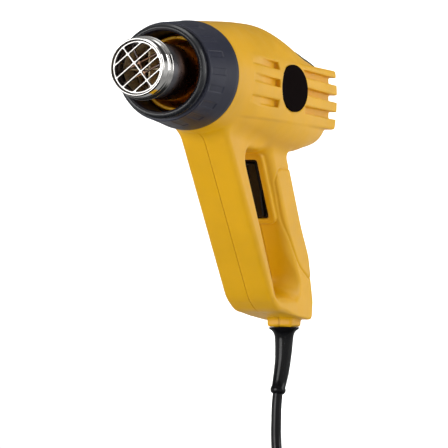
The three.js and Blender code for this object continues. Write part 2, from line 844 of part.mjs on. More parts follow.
function collar() {
  const profile = [
    [collarBore + 0.4, -collarLength + 0.6],
    [collarBore + 1.8, -collarLength],
    [collarLipRadius - 1.4, -collarLength + 0.2],
    [collarLipRadius, -collarLength + 2.4],
    [collarLipRadius - 0.1, -collarTierFront - 1.2],
    [collarLipRadius - 1.4, -collarTierFront - 1],
    [collarLipRadius - 1.4, -collarTierFront],
    [collarLipRadius + 1.6, -collarTierFront],
    [collarRadius - 1.5, -collarNotchRear + 1.5],
    [collarRadius, -4],
    [collarRadius, -clearance],
    [spigotRadius + clearance, -clearance],
    [spigotRadius + clearance, -spigotLength - clearance],
    [collarBore + 1.2, -spigotLength - clearance],
    [collarBore, -spigotLength - 4],
    [collarBore, -collarLength + 1.6],
  ];
  const body = turned(profile, collarSides);
  const notch = box(collarNotchFloor, far, -collarNotchFront, -collarNotchRear, -1.9, 1.9);
  const notches = Array.from({ length: collarNotches }, (_, k) => spun(notch, 360 * k / collarNotches));
  return cut(body, ...notches, ...lugAngles.map(lugRoom));
}

piece('collar', collar(), collarPlastic());

// Nozzle tube, its chromed tip and the stamped outlet grille
piece('nozzle_tube', turned([
  [tubeRadius - tubeWall, tubeFront],
  [tubeRadius, tubeFront],
  [tubeRadius, tubeFlangeY],
  [tubeFlangeRadius, tubeFlangeY],
  [tubeFlangeRadius, tubeFlangeY + tubeFlangeThickness],
  [tubeRadius - tubeWall, tubeFlangeY + tubeFlangeThickness],
], 24), darkSteel());

piece('nozzle_tip', turned([
  [tipRimRadius - 0.9, tipFront],
  [tipRimRadius + 0.1, tipFront],
  [tipRimRadius + 0.6, tipFront + 0.8],
  [tipBeadRadius - 1.2, tipBeadY - 4],
  [tipBeadRadius, tipBeadY - 2.2],
  [tipBeadRadius - 0.7, tipBeadY],
  [tubeRadius + clearance, tipBeadY],
  [tubeRadius + clearance, tubeFront - clearance],
  [grilleRadius + clearance, tubeFront - clearance],
  [grilleRadius + clearance, tipFront + 1.5],
], 24), chrome());

// A stamped plate with one bar across its middle and four bars square to it
function grillePlate(y0, thickness, bar, radius, across, turn) {
  const rim = ring(radius, radius - 1.4, y0, y0 + thickness, 24);
  const spine = box(-bar / 2, bar / 2, y0, y0 + thickness, -radius + 0.7, radius - 0.7);
  const bars = across.map((z) => {
    const half = Math.sqrt((radius - 0.7) ** 2 - z ** 2);
    return box(-half, half, y0, y0 + thickness, z - bar / 2, z + bar / 2);
  });
  return spun(union(rim, spine, ...bars), turn);
}

const grilleFront = tipFront + 1.5;
const barPlaces = [-3, -1, 1, 3].map((k) => k * grilleRadius * 0.21);
const outletGrille = grillePlate(grilleFront, grilleThickness, grilleBar, grilleRadius, barPlaces, grilleTurn);
piece('outlet_grille', outletGrille, chrome());
const screenFront = tubeFront + 1;
const screenRadius = tubeRadius - tubeWall - clearance;
piece(
  'inner_screen',
  grillePlate(
    screenFront, grilleThickness, grilleBar, screenRadius, [barPlaces[1], barPlaces[2]], screenTurn,
  ),
  brightSteel(),
);

// Heater: a mica sleeve, two boards slotted into each other, the winding round them and the ceramic base
piece('mica_sleeve', ring(micaRadius, micaRadius - micaWall, heaterFront, heaterRear, 18), mica());

const boardHalf = windingRadius - windingWire - 2 * clearance;
const boardMiddle = (heaterFront + heaterRear) / 2;
const boardSlot = boardThickness / 2 + clearance;
const boardBlank = box(
  -boardHalf, boardHalf, heaterFront + 3, heaterRear, -boardThickness / 2, boardThickness / 2,
);
piece('heater_board_flat', cut(
  boardBlank,
  box(-boardSlot, boardSlot, heaterFront, boardMiddle + clearance / 2, -far, far),
), mica());
piece('heater_board_upright', cut(
  spun(boardBlank, 90),
  box(-far, far, boardMiddle - clearance / 2, heaterRear + 1, -boardSlot, boardSlot),
), mica());

function gapToItself(points, closeSteps, radius) {
  let least = Infinity;
  points.forEach((p, i) => {
    for (let j = i + closeSteps; j < points.length; j += 1) least = Math.min(least, p.distanceTo(points[j]));
  });
  return least - 2 * radius;
}

const windingSteps = 8;
const windingLength = windingTurns * windingPitch;
const windingStart = boardMiddle - windingLength / 2;
const windingPoints = Array.from({ length: windingTurns * windingSteps + 1 }, (_, k) => {
  const angle = 2 * Math.PI * k / windingSteps;
  const y = windingStart + windingPitch * k / windingSteps;
  return new THREE.Vector3(windingRadius * Math.cos(angle), y, windingRadius * Math.sin(angle));
});
console.log('heater winding least gap', gapToItself(windingPoints, windingSteps / 2, windingWire).toFixed(2));
piece('heater_winding', sweep(windingPoints, windingPoints.map(() => windingWire), 5), brightSteel());

const heaterBaseFront = heaterRear + clearance;
const heaterBaseRear = heaterBaseFront + heaterBaseThickness;
piece('heater_base', cut(
  disc(tubeRadius - tubeWall - clearance, heaterBaseFront, heaterBaseRear),
  ...[30, 90, 150, 210, 330].map((angle) => {
    const hole = new THREE.CylinderGeometry(2.4, 2.4, 3 * heaterBaseThickness, 8);
    return solid(hole.translate(10.5, heaterBaseFront, 0).rotateY(angle * degree));
  }),
), ceramic());

const fuse = new THREE.CapsuleGeometry(1.9, 7, 3, 10).rotateZ(Math.PI / 2);
piece('thermal_fuse', fuse.translate(0, heaterBaseRear + clearance + 1.9, 0), brightSteel());

// Air path: the funnel and the fan's duct
const ductOuter = ductRadius + ductWall;
const funnelNeck = tubeRadius - tubeWall + 1;
const leadGate = box(-9, 9, funnelFront - 1, ductFront + 1, -far, -12);
piece('air_funnel', cut(turned([
  [funnelNeck, funnelFront],
  [funnelNeck + ductWall, funnelFront],
  [ductOuter, ductFront - clearance],
  [ductRadius, ductFront - clearance],
], 20), leadGate), blackPlastic());

function innerRadius(y) {
  const { side, top, bottom } = barrelAt(y);
  return Math.min(side, top, bottom) - wall;
}

const ductFoot = innerRadius(ductRear) - clearance;
const leadCorner = box(-9, 9, ductFront - 4, ductRear + 20, -far, -ductOuter + 0.2);
piece('fan_duct', cut(turned([
  [ductRadius, ductFront],
  [ductOuter, ductFront],
  [ductOuter, ductRear - 2],
  [ductFoot, ductRear - 2],
  [ductFoot, ductRear],
  [ductRadius, ductRear],
], 20), leadCorner), blackPlastic());

// The impeller: a hub with pitched blades
function impeller() {
  const hub = turned([
    [shaftRadius + clearance, fanFront],
    [fanHub - 2, fanFront],
    [fanHub, fanFront + 2.5],
    [fanHub, fanRear],
    [shaftRadius + clearance, fanRear],
  ], 18);
  const middle = (fanFront + fanRear) / 2;
  const blades = Array.from({ length: fanBlades }, (_, k) => {
    const stations = [fanHub - 1, fanRadius];
    const rings = stations.map((r) => {
      const pitch = THREE.MathUtils.mapLinear(r, fanHub, fanRadius, 50, 28) * degree;
      const half = (fanRear - fanFront) / 2 - 1;
      const chord = Math.min(half / Math.sin(pitch), 9.5);
      return [[-1, -0.6], [1, -0.6], [1, 0.6], [-1, 0.6]].map(([u, v]) => {
        const y = middle + u * chord * Math.sin(pitch) + v * Math.cos(pitch);
        const z = u * chord * Math.cos(pitch) - v * Math.sin(pitch);
        return new THREE.Vector3(Math.sqrt(Math.max(r ** 2 - z ** 2, 1)), y, z);
      });
    });
    return solid(loft(rings).rotateY(360 * degree * k / fanBlades));
  });
  return union(hub, ...blades);
}

piece('impeller', impeller(), blackPlastic());

// Motor: can, magnets, bearings, end cap, brushes, shaft, armature and commutator
const bearingHole = bearingRadius + clearance;
const canFront = motorFront + motorWall;
piece('motor_can', turned([
  [bearingHole, motorFront - 3],
  [bearingHole + 1.2, motorFront - 3],
  [bearingHole + 1.2, motorFront],
  [motorRadius, motorFront],
  [motorRadius, motorRear],
  [motorRadius - motorWall, motorRear],
  [motorRadius - motorWall, canFront],
  [bearingHole, canFront],
], 20), brightSteel());

const magnetOuter = motorRadius - motorWall - clearance;
const magnetRing = ring(magnetOuter, magnetOuter - magnetThickness, canFront + 3, motorRear - 6, 20);
const magnetSide = box(-far, far, -far, far, 4, far);
piece('magnet_upper', magnetRing.intersect(magnetSide), blackPlastic());
piece('magnet_lower', cut(magnetRing, box(-far, far, -far, far, -4, far)), blackPlastic());

const bearingBore = shaftRadius + clearance;
piece('bearing_front', ring(bearingRadius, bearingBore, motorFront - 2.6, canFront, 16), brass());
const endCapFront = motorRear + clearance;
const endCapRear = endCapFront + endCapThickness;
piece('motor_end_cap', cut(
  disc(motorRadius, endCapFront, endCapRear),
  disc(bearingHole, endCapFront - 1, endCapRear + 1, 20),
), blackPlastic());
piece('bearing_rear', ring(bearingRadius, bearingBore, endCapFront, endCapRear, 16), brass());

const brushHalf = 2.2;
const commutatorRadius = 5;
const commutatorFront = motorRear - 9;
[['brush_upper', 1], ['brush_lower', -1]].forEach(([name, side]) => {
  const inner = side * (commutatorRadius + clearance);
  const outer = side * (magnetOuter - magnetThickness - 0.2);
  const brush = box(
    -brushHalf, brushHalf, motorRear - 5.5, motorRear, Math.min(inner, outer), Math.max(inner, outer),
  );
  piece(name, brush, blackPlastic());
});

piece('motor_shaft', disc(shaftRadius, fanFront - 2, endCapRear + 2, 16), brightSteel());
const armatureBore = shaftRadius + clearance;
const poles = Array.from({ length: 3 }, (_, k) => {
  const slot = box(6, far, 0, far, -1.6, 1.6);
  return spun(slot, 120 * k + 60);
});
piece('armature', cut(
  ring(armatureRadius, armatureBore, canFront + 6, commutatorFront - 4, 18),
  ...poles,
), copper());
piece('commutator', ring(commutatorRadius, armatureBore, commutatorFront, motorRear - 2, 18), copper());

// The ring with four arms that carries the motor in the barrel
const mountFront = motorFront + 4;
const mountRear = mountFront + 8;
const mountOuter = innerRadius(mountRear) - clearance;
const mountRing = ring(mountOuter, mountOuter - 2, mountFront, mountRear, 18);
const mountHub = ring(motorRadius + clearance + 2, motorRadius + clearance, mountFront, mountRear, 20);
const mountArm = box(motorRadius + 1.5, mountOuter - 1, mountFront + 1, mountRear - 1, -1.5, 1.5);
piece('motor_mount', cut(
  union(mountRing, mountHub, ...[45, 135, 225, 315].map((angle) => spun(mountArm, angle))),
  box(-9, 9, 0, far, -far, -mountOuter + 2.4),
), blackPlastic());

// Rectifier board on the motor's end cap
const boardFront = endCapRear + boardGap;
const boardPosts = [0, 120, 240].map((angle) => {
  const reach = boardGap + 0.4 - clearance;
  const post = new THREE.CylinderGeometry(1.4, 1.4, reach, 8);
  return solid(post.translate(11, endCapRear + clearance + reach / 2, 0).rotateY(angle * degree));
});
piece('rectifier_board', union(
  ring(motorRadius - 3, 4, boardFront, boardFront + 1.4, 20),
  ...boardPosts,
), paint(0x2f6a3c, 0.5));
piece('rectifier', box(-4, 4, boardFront + 1.4 + clearance, boardFront + 5.4, 5, 11), blackPlastic());

// Rear intake grille, a little proud of the yellow housing
function intakeGrille() {
  const skin = barrelBody(intakeProud, intakeStart - 10, barrelLength + intakeProud)
    .subtract(barrelBody(intakeProud - intakeWall, intakeStart - 20, barrelLength + intakeProud - intakeWall));
  const cap = skin.intersect(intakeWindow(0));
  const slots = [-14, -7, 0, 7, 14].map((x) => union(
    box(x - 2, x + 2, intakeStart + 6, barrelLength - 5, 10, far),
    box(x - 2, x + 2, barrelLength - 6, far, -16, 11),
  ));
  return cut(cap, ...slots);
}

piece('intake_grille', intakeGrille(), blackPlastic());

// Badges
const badgeFloor = panelX(badgeCentreY, badgeCentreZ) - badgeStep - 0.1 + clearance;
const badgePlate = badgeBody(badgeFloor, badgeFloor + badgeThickness, 0);
piece('badge_right', badgePlate, blackPlastic());
piece('badge_left', mirrored(badgePlate), blackPlastic());

// Rocker switch in its own frame
const switchGroup = new THREE.Group();
switchGroup.position.set(0, switchPlace.y, switchPlace.z);
switchGroup.rotation.x = gripRake * degree;
tool.add(switchGroup);

const frameFront = -bezelHeight + 0.4;
const rockerRoomHalf = rockerHalfLength + 1.6;
const rockerRoomDepth = frameFront + pivotDepth + 8.6;
const pivotY = frameFront + pivotDepth;
piece('switch_body', cut(
  union(
    slabAt(frameFront, wall + 1, frameHalfWidth, frameHalfLength, 2),
    slabAt(wall + 0.5, wall + 5, frameHalfWidth, frameHalfLength, 2),
    box(-11.2, 11.2, wall + 0.5, wall + 3, -frameHalfLength + 3, frameHalfLength - 3),
    box(-frameHalfWidth, frameHalfWidth, wall, switchDepth, -frameHalfLength + 2, frameHalfLength - 2),
  ),
  box(
    -rockerHalfWidth - clearance, rockerHalfWidth + clearance,
    -far, rockerRoomDepth, -rockerRoomHalf, rockerRoomHalf,
  ),
  pinX(1.3, -frameHalfWidth + 0.4, frameHalfWidth - 0.4, pivotY, 0, 14),
), blackPlastic(), switchGroup);

// The rocker's face is two planes that meet at the pivot; its lower end stands out at rest
function rocker() {
  const face = (z) => (z > 0 ? 0.6 : 0.6 - rockerRise * (-z / rockerHalfLength));
  const outline = rounded([
    { y: frameFront + face(rockerHalfLength), z: rockerHalfLength, r: 0.8 },
    { y: frameFront + face(0), z: 0, r: 30 },
    { y: frameFront + face(-rockerHalfLength), z: -rockerHalfLength, r: 1.2 },
    { y: frameFront + face(-rockerHalfLength) + 4.5, z: -rockerHalfLength - 0.6, r: 0.8 },
    { y: pivotY + 1.8, z: -6, r: 2 },
    { y: pivotY + 3.4, z: 0, r: 3 },
    { y: pivotY + 1.8, z: 6, r: 2 },
    { y: frameFront + face(rockerHalfLength) + 4, z: rockerHalfLength - 0.3, r: 0.8 },
  ], 3);
  return union(
    slab(outline, rockerHalfWidth, 0.5, [], 1),
    pinX(1, -frameHalfWidth + 0.4 + clearance, frameHalfWidth - 0.4 - clearance, pivotY, 0, 12),
  );
}

piece('switch_rocker', rocker(), blackPlastic(), switchGroup);
[['terminal_low', -9], ['terminal_middle', 0], ['terminal_high', 9]].forEach(([name, z]) => {
  const blade = box(-2.4, 2.4, switchDepth + clearance, switchDepth + terminalLength, z - 0.4, z + 0.4);
  piece(name, blade, brass(), switchGroup);
});

// Screws that hold the two halves, entered from the left
screwPlaces.forEach((place, k) => {
  const seat = -place.half - clearance;
  const screw = union(
    pinX(screwHead, seat - 2.4, seat, place.y, place.z, 8),
    pinX(screwShank, seat - 0.5, place.half, place.y, place.z, 6),
  );
  piece(`housing_screw_${k + 1}`, screw, darkSteel());
});

// Strain relief, captured in the base, tapering to a small bead
const reliefPath = [
  [0, bossY, reliefTop], [0, bossY, reliefTop - 2.6], [0, bossY, reliefTop - 2.7], [0, bossY, bossBottom - 0.3],
  [0, bossY, bossBottom - 0.4], [0, bossY, bossBottom - 1.6], [0, bossY, bossBottom - 3],
  [0, bossY, bossBottom - 5.6], [-0.1, bossY - 0.2, bossBottom - 12], [-0.4, bossY - 0.9, bossBottom - 21],
  [-1.2, bossY - 2.3, bossBottom - 31], [-2.4, bossY - 4.2, bossBottom - 40.6],
  [-2.5, bossY - 4.35, bossBottom - 41.2], [-2.7, bossY - 4.6, bossBottom - 43.6],
  [-2.82, bossY - 4.75, bossBottom - reliefLength],
].map((p) => new THREE.Vector3(...p));
const reliefRadii = [
  reliefFlange, reliefFlange, reliefNeck, reliefNeck, 10.2, 10.2, 7.6, 6, 5.8, 5.5, 5.2, 4.7, 5.1, 5.1, 4.4,
];
piece('strain_relief', sweep(reliefPath, reliefRadii, 12), rubber());

// The lead inside the handle, its clamp and the clamp's screws
const innerLead = [
  [0, bossY, reliefTop + clearance], [0, bossY, reliefTop + 3], [0, clampY + 5, clampZ - 10],
  [0, clampY, clampZ], [0, clampY - 3.9, clampZ + 9],
];
piece('inner_lead', tube(innerLead, cordDiameter / 2, 8, 8), rubber());
piece('lead_clamp', cut(
  box(
    clampX - clampThickness - clearance, clampX - clearance,
    clampY - clampScrewReach - 3.8, clampY + clampScrewReach + 3.8, clampZ - 3, clampZ + 3,
  ),
  ...[-1, 1].map((side) => pinX(clampScrew + clearance, -far, far, clampAt(side).y, clampAt(side).z, 8)),
), paint(0xd8d4c8, 0.6));
['clamp_screw_front', 'clamp_screw_rear'].forEach((name, k) => {
  const { y, z } = clampAt(2 * k - 1);
  const seat = clampX - clampThickness - 2 * clearance;
  const screw = union(
    pinX(2.4, seat - 1.8, seat, y, z, 8),
    pinX(clampScrew, seat - 0.5, clampX + 8, y, z, 6),
  );
  piece(name, screw, brightSteel());
});

// Insulated wires: from the lead to the switch, from the switch to the heater, and the neutral to the heater
function wire(name, color, points, steps) {
  piece(name, tube(points, wireRadius, 5, steps), paint(color, 0.5));
}
const tab = (z) => new THREE.Vector3(0, switchDepth + terminalLength + clearance, z).applyMatrix4(switchMatrix);
const [tabLow, tabHigh] = [tab(-9), tab(9)];
const leadEnd = { y: clampY - 4.3, z: clampZ + 9.8 };
const underDuct = -ductRadius - 4.3;
wire('live_wire', 0x6b4226, [
  [1.5, leadEnd.y, leadEnd.z], [2, leadEnd.y - 3.6, leadEnd.z + 9.2],
  [1.5, leadEnd.y - 9.1, leadEnd.z + 25.2], [0, tabLow.y + 2.4, tabLow.z + 1], [0, tabLow.y, tabLow.z],
], 9);
wire('neutral_wire', 0x2f55a4, [
  [-1.5, leadEnd.y, leadEnd.z], [-5, leadEnd.y - 3.6, leadEnd.z + 9.2],
  [-7, leadEnd.y - 9.1, leadEnd.z + 26.2], [-6.5, 137, -76], [-6.5, 127, -58], [-6.5, 117.5, -41.5],
  [-6, 103, underDuct - 3.3], [-5.5, 88, underDuct], [-5.5, 62, underDuct], [-5.5, 57, underDuct + 0.3],
  [-5, 49, -23], [-3.2, 38.5, -10], [-3, 33.8, -9],
], 20);
wire('heater_wire', 0x8a2f2a, [
  [0, tabHigh.y, tabHigh.z], [0.4, tabHigh.y + 2.4, tabHigh.z + 1.6], [3.5, 119, -41.5],
  [6, 103, underDuct - 3.3], [5.5, 88, underDuct], [5.5, 62, underDuct], [5.5, 57, underDuct + 0.3],
  [5, 49, -23], [3.2, 38.5, -10], [3, 33.8, -9],
], 18);

// The free lead: straight out of the relief, down, round onto the floor and into the coil
const reliefEnd = reliefPath[reliefPath.length - 1];
const cordRadius = cordDiameter / 2;
const cordFloor = floorZ + tieThickness + clearance + cordRadius;
const headingAngle = -30;
const heading = new THREE.Vector2(Math.cos(headingAngle * degree), Math.sin(headingAngle * degree));
const bendRadius = 31;
const landing = new THREE.Vector2(reliefEnd.x - 0.7, reliefEnd.y - 0.9);
const floorPoint = (run) => new THREE.Vector2(
  landing.x + heading.x * (bendRadius + run),
  landing.y + heading.y * (bendRadius + run),
);
const bend = (angle) => {
  const out = bendRadius * (1 - Math.cos(angle * degree));
  const down = bendRadius * (1 - Math.sin(angle * degree));
  return [landing.x + heading.x * out, landing.y + heading.y * out, cordFloor + down];
};
const coilRun = 45;
const coilStart = floorPoint(coilRun);
const cordPoints = [
  [reliefEnd.x - 0.03, reliefEnd.y - 0.04, reliefEnd.z - clearance - 0.1],
  [reliefEnd.x - 0.45, reliefEnd.y - 0.6, reliefEnd.z - 7],
  [landing.x, landing.y, reliefEnd.z - 18],
  bend(0), bend(18), bend(36), bend(54), bend(72), bend(90),
  [floorPoint(coilRun / 3).x, floorPoint(coilRun / 3).y, cordFloor],
  [floorPoint(coilRun / 1.5).x, floorPoint(coilRun / 1.5).y, cordFloor],
  [coilStart.x, coilStart.y, cordFloor],
];
piece('cord_free', tube(cordPoints, cordRadius, 8, 20), rubber());

// The coil: two layers of one unbroken lead, spiralling in, climbing a layer in half a turn, and out again
const layerRise = 7.6;
const innerTurns = 3.25;
const straightEnd = cordDiameter;
const tailLength = 34;
const coilOuterRadius = coilInnerRadius + coilPitch * innerTurns;
const coilFacing = Math.atan2(heading.y, heading.x);
const coilEntry = new THREE.Vector3(
  coilStart.x + heading.x * (clearance + straightEnd),
  coilStart.y + heading.y * (clearance + straightEnd),
  cordFloor,
);
const coilCentre = new THREE.Vector2(
  coilEntry.x + heading.y * coilOuterRadius,
  coilEntry.y - heading.x * coilOuterRadius,
);
const turnAt = 2 * Math.PI * innerTurns;

function coilPoint(angle) {
  const radius = coilInnerRadius + coilPitch * Math.abs(turnAt - angle) / (2 * Math.PI);
  const climb = THREE.MathUtils.smoothstep(angle, turnAt - Math.PI / 2, turnAt + Math.PI / 2);
  const bearing = coilFacing + Math.PI / 2 - angle;
  return new THREE.Vector3(
    coilCentre.x + radius * Math.cos(bearing),
    coilCentre.y + radius * Math.sin(bearing),
    cordFloor + layerRise * climb,
  );
}

const freeLength = new THREE.CatmullRomCurve3(
  cordPoints.map((p) => new THREE.Vector3(...p)), false, 'centripetal',
).getLength();
const coilPoints = [
  new THREE.Vector3(coilStart.x + heading.x * clearance, coilStart.y + heading.y * clearance, cordFloor),
  coilEntry,
];
let coilLength = straightEnd;
for (let k = 1; freeLength + coilLength < cordLength - tailLength; k += 1) {
  const next = coilPoint(2 * Math.PI * k / coilSteps);
  coilLength += next.distanceTo(coilPoints[coilPoints.length - 1]);
  coilPoints.push(next);
}
const coilLast = coilPoints[coilPoints.length - 1];
const leaving = coilLast.clone().sub(coilPoints[coilPoints.length - 2]);
leaving.applyAxisAngle(new THREE.Vector3(0, 0, 1), -Math.PI / coilSteps).normalize();
coilPoints.push(coilLast.clone().addScaledVector(leaving, tailLength));
coilLength += tailLength;
const coilEnd = coilPoints[coilPoints.length - 1];
console.log('free lead', freeLength.toFixed(0), 'coil', coilLength.toFixed(0), 'turns',
  ((coilPoints.length - 3) / coilSteps).toFixed(2));
console.log('coil least gap', gapToItself(coilPoints, 6, cordRadius).toFixed(2));
piece('cord_coil', sweep(coilPoints, coilPoints.map(() => cordRadius), coilSides), rubber());

// The tie round the coil, opposite the place where the lead comes in
const tieBearing = coilFacing + Math.PI / 2 - Math.PI * 0.9;
const tieOut = new THREE.Vector3(Math.cos(tieBearing), Math.sin(tieBearing), 0);
const tieAlong = new THREE.Vector3(-tieOut.y, tieOut.x, 0);
const coilMiddle = new THREE.Vector3(coilCentre.x, coilCentre.y, 0);
const tied = coilPoints.map((p) => p.clone().sub(coilMiddle))
  .filter((p) => p.dot(tieOut) > 0 && Math.abs(p.dot(tieAlong)) < tieWidth)
  .map((p) => p.dot(tieOut));
const tieInner = Math.min(...tied) - cordRadius - clearance;
const tieOuter = Math.max(...tied) + cordRadius + clearance + 0.4;
const tieTop = cordFloor + layerRise + cordRadius + clearance;
const tieLoop = cut(
  box(
    tieInner - tieThickness, tieOuter + tieThickness, -tieWidth / 2, tieWidth / 2,
    floorZ, tieTop + tieThickness,
  ),
  box(tieInner, tieOuter, -far, far, floorZ + tieThickness, tieTop),
);
const tie = piece('cord_tie', tieLoop, rubber());
tie.rotation.z = tieBearing;
tie.position.set(coilCentre.x, coilCentre.y, 0);

// Plug in its own frame: the lead enters from -Y and the pins point to +Y
const plugLength = 40;
const plugHalfWidth = 17;
const plugGroup = new THREE.Group();
plugGroup.position.copy(coilEnd).addScaledVector(leaving, clearance);
plugGroup.rotation.z = Math.atan2(leaving.y, leaving.x) - Math.PI / 2;
tool.add(plugGroup);
const plugHalfHeight = coilEnd.z - floorZ;
const plugSections = [
  [0, 4.6, 4.6], [9, 5.2, 5.2], [10, 7.5, 7], [16, 11, 9.5], [22, plugHalfWidth - 1.5, plugHalfHeight - 0.6],
  [plugLength - 1.5, plugHalfWidth, plugHalfHeight], [plugLength, plugHalfWidth - 1.5, plugHalfHeight - 1.5],
];
piece('plug_body', loft(plugSections.map(([y, halfWidth, halfHeight]) => (
  Array.from({ length: 20 }, (_, k) => {
    const angle = 2 * Math.PI * k / 20;
    const power = y > 9.5 ? 0.62 : 1;
    const x = Math.sign(Math.cos(angle)) * Math.abs(Math.cos(angle)) ** power * halfWidth;
    const z = Math.sign(Math.sin(angle)) * Math.abs(Math.sin(angle)) ** power * halfHeight;
    return new THREE.Vector3(x, y, z);
  })
))), rubber(), plugGroup);
const pinSpacing = 19;
const pinLength = 19;
const pinRadius = 2.35;
['plug_pin_left', 'plug_pin_right'].forEach((name, k) => {
  const end = plugLength + pinLength;
  const start = plugLength + clearance;
  const profile = [[0, start], [pinRadius, start], [pinRadius, end - 1.6], [pinRadius - 0.9, end], [0, end]];
  piece(name, turned(profile, 14), brass(), plugGroup).position.x = (k - 0.5) * pinSpacing;
});

export default root;
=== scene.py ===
"""A hand-held hot air tool with its lead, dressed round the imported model.

Shapes are drawn in the barrel's frame: millimetres, origin on the barrel's axis at the collar's rear edge,
nozzle towards -Y. place() moves them to the model's own frame in metres.
"""
import functools
import math

import bmesh
import bpy
import numpy as np
from mathutils import Matrix, Vector


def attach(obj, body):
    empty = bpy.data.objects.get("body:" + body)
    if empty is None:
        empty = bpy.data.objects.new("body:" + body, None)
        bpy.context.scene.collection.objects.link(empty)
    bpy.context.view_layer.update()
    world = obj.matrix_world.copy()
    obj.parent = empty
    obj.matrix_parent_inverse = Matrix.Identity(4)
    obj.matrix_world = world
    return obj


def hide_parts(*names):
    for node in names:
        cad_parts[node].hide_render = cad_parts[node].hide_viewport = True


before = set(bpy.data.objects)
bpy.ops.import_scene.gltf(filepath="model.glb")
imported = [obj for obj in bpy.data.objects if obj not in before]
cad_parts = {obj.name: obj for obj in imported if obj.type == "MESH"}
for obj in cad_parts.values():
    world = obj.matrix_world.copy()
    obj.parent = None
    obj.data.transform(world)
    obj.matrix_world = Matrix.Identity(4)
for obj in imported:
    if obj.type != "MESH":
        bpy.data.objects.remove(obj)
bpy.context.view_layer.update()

MM = 0.001
SHIFT = np.array((0.0, -136.0, 95.0))
DEGREE = math.pi / 180


def place(points):
    return (np.asarray(points, float) + SHIFT) * MM


def add(name, data):
    """A new object in the scene."""
    thing = bpy.data.objects.new(name, data)
    bpy.context.scene.collection.objects.link(thing)
    return thing


# Camera, at the photograph's angle and distance

PHOTO_WIDTH, SENSOR_WIDTH, FOCAL_PIXELS = 448, 36.0, 4000.0
AZIMUTH, ELEVATION = 0.3881277, -0.0307281
DISTANCE, ASIDE, ABOVE = 2548.26, 22.674, -94.674


def make_camera():
    back = Vector((
        math.sin(AZIMUTH) * math.cos(ELEVATION),
        -math.cos(AZIMUTH) * math.cos(ELEVATION),
        math.sin(ELEVATION),
    ))
    right = Vector((math.cos(AZIMUTH), math.sin(AZIMUTH), 0.0))
    up = back.cross(right)
    data = bpy.data.cameras.new("camera")
    data.sensor_width = SENSOR_WIDTH
    data.lens = FOCAL_PIXELS / PHOTO_WIDTH * SENSOR_WIDTH
    data.clip_start, data.clip_end = 0.05, 60
    camera = add("camera", data)
    spot = place(back * DISTANCE + right * ASIDE + up * ABOVE)
    turn = Matrix((right, up, back)).transposed().to_4x4()
    camera.matrix_world = Matrix.Translation(spot) @ turn
    bpy.context.scene.camera = camera


make_camera()


# Meshes

def new_object(name, verts, faces, material, body="body", placed=False):
    """A smooth piece that rides on a body, from points in the barrel's frame or placed ones."""
    mesh = bpy.data.meshes.new(name)
    points = verts if placed else place(verts)
    mesh.from_pydata([tuple(p) for p in points], [], [tuple(f) for f in faces])
    mesh.validate()
    mesh.update()
    mesh.polygons.foreach_set("use_smooth", [True] * len(mesh.polygons))
    mesh.materials.append(material)
    piece = add(name, mesh)
    if body:
        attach(piece, body)
    return piece


def stand_in(piece, node, angle=None):
    """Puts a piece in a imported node's place; with an angle, edges above it stay sharp."""
    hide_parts(node)
    if angle:
        sharpen(piece, angle)


def rework(piece, change):
    """Runs a change on the piece's mesh while it is open for editing."""
    work = bmesh.new()
    work.from_mesh(piece.data)
    change(work)
    work.to_mesh(piece.data)
    work.free()
    return piece


def faces_outward(piece):
    return rework(piece, lambda work: bmesh.ops.recalc_face_normals(work, faces=work.faces))


def sharpen(piece, angle):
    """Smooth shading that keeps edges sharper than the angle."""
    def mark(work):
        for edge in work.edges:
            edge.smooth = not edge.is_manifold or edge.calc_face_angle(0) < angle * DEGREE
        for face in work.faces:
            face.smooth = True

    return rework(piece, mark)


def ring_faces(rows, count, capped=False):
    """Quads between rows of points in rings: both ends get a cap, or the last row meets the first."""
    faces = []
    for j in range(rows - 1 if capped else rows):
        ahead = (j + 1) % rows
        for k in range(count):
            n = (k + 1) % count
            faces.append((j * count + k, j * count + n, ahead * count + n, ahead * count + k))
    if capped:
        faces += [tuple(range(count)), tuple(range((rows - 1) * count, rows * count))]
    return faces


def revolve(profile, segments, wave=None):
    """Points and faces of a (radius, y) outline turned round the Y axis; wave changes each radius."""
    profile = np.asarray(profile, float)
    turn = np.tile(np.linspace(0, 2 * math.pi, segments, endpoint=False), (len(profile), 1))
    radius = np.repeat(profile[:, :1], segments, 1)
    along = np.repeat(profile[:, 1:], segments, 1)
    if wave:
        radius = wave(radius, along, turn)
    verts = np.stack([radius * np.cos(turn), along, radius * np.sin(turn)], -1).reshape(-1, 3)
    return verts, ring_faces(len(profile), segments)


def lathe(name, profile, segments, material, body="body", wave=None):
    """A piece made on a lathe round the barrel's axis."""
    verts, faces = revolve(profile, segments, wave)
    return faces_outward(new_object(name, verts, faces, material, body))


def unit(vector):
    return vector / np.linalg.norm(vector)


def spin(a, b, angle):
    """A point of a plane turned round the plane's origin."""
    c, s = math.cos(angle), math.sin(angle)
    return a * c - b * s, a * s + b * c


def round_profile(corners, steps=5):
    """Rounds the (a, b, radius) corners of a closed outline and returns its points; (a, b) stays sharp."""
    out = []
    for i, corner in enumerate(corners):
        here = np.array(corner[:2], float)
        if len(corner) < 3:
            out.append(here)
            continue
        radius = corner[2]
        before = unit(np.array(corners[i - 1][:2], float) - here)
        after = unit(np.array(corners[(i + 1) % len(corners)][:2], float) - here)
        half = math.acos(float(np.clip(before @ after, -1, 1))) / 2
        reach = radius / math.tan(half)
        centre = here + unit(before + after) * radius / math.sin(half)
        start = here + before * reach - centre
        end = here + after * reach - centre
        sweep = math.atan2(start[0] * end[1] - start[1] * end[0], start @ end)
        out += [centre + spin(*start, sweep * k / steps) for k in range(steps + 1)]
    return np.array(out)


# Distances: each function gives how far points lie outside a form, in millimetres

def meet(*distances):
    """Distance to what forms share."""
    return functools.reduce(np.maximum, distances)


def join(*distances):
    """Distance to forms taken together."""
    return functools.reduce(np.minimum, distances)


def span(value, low, high):
    return np.maximum(low - value, value - high)


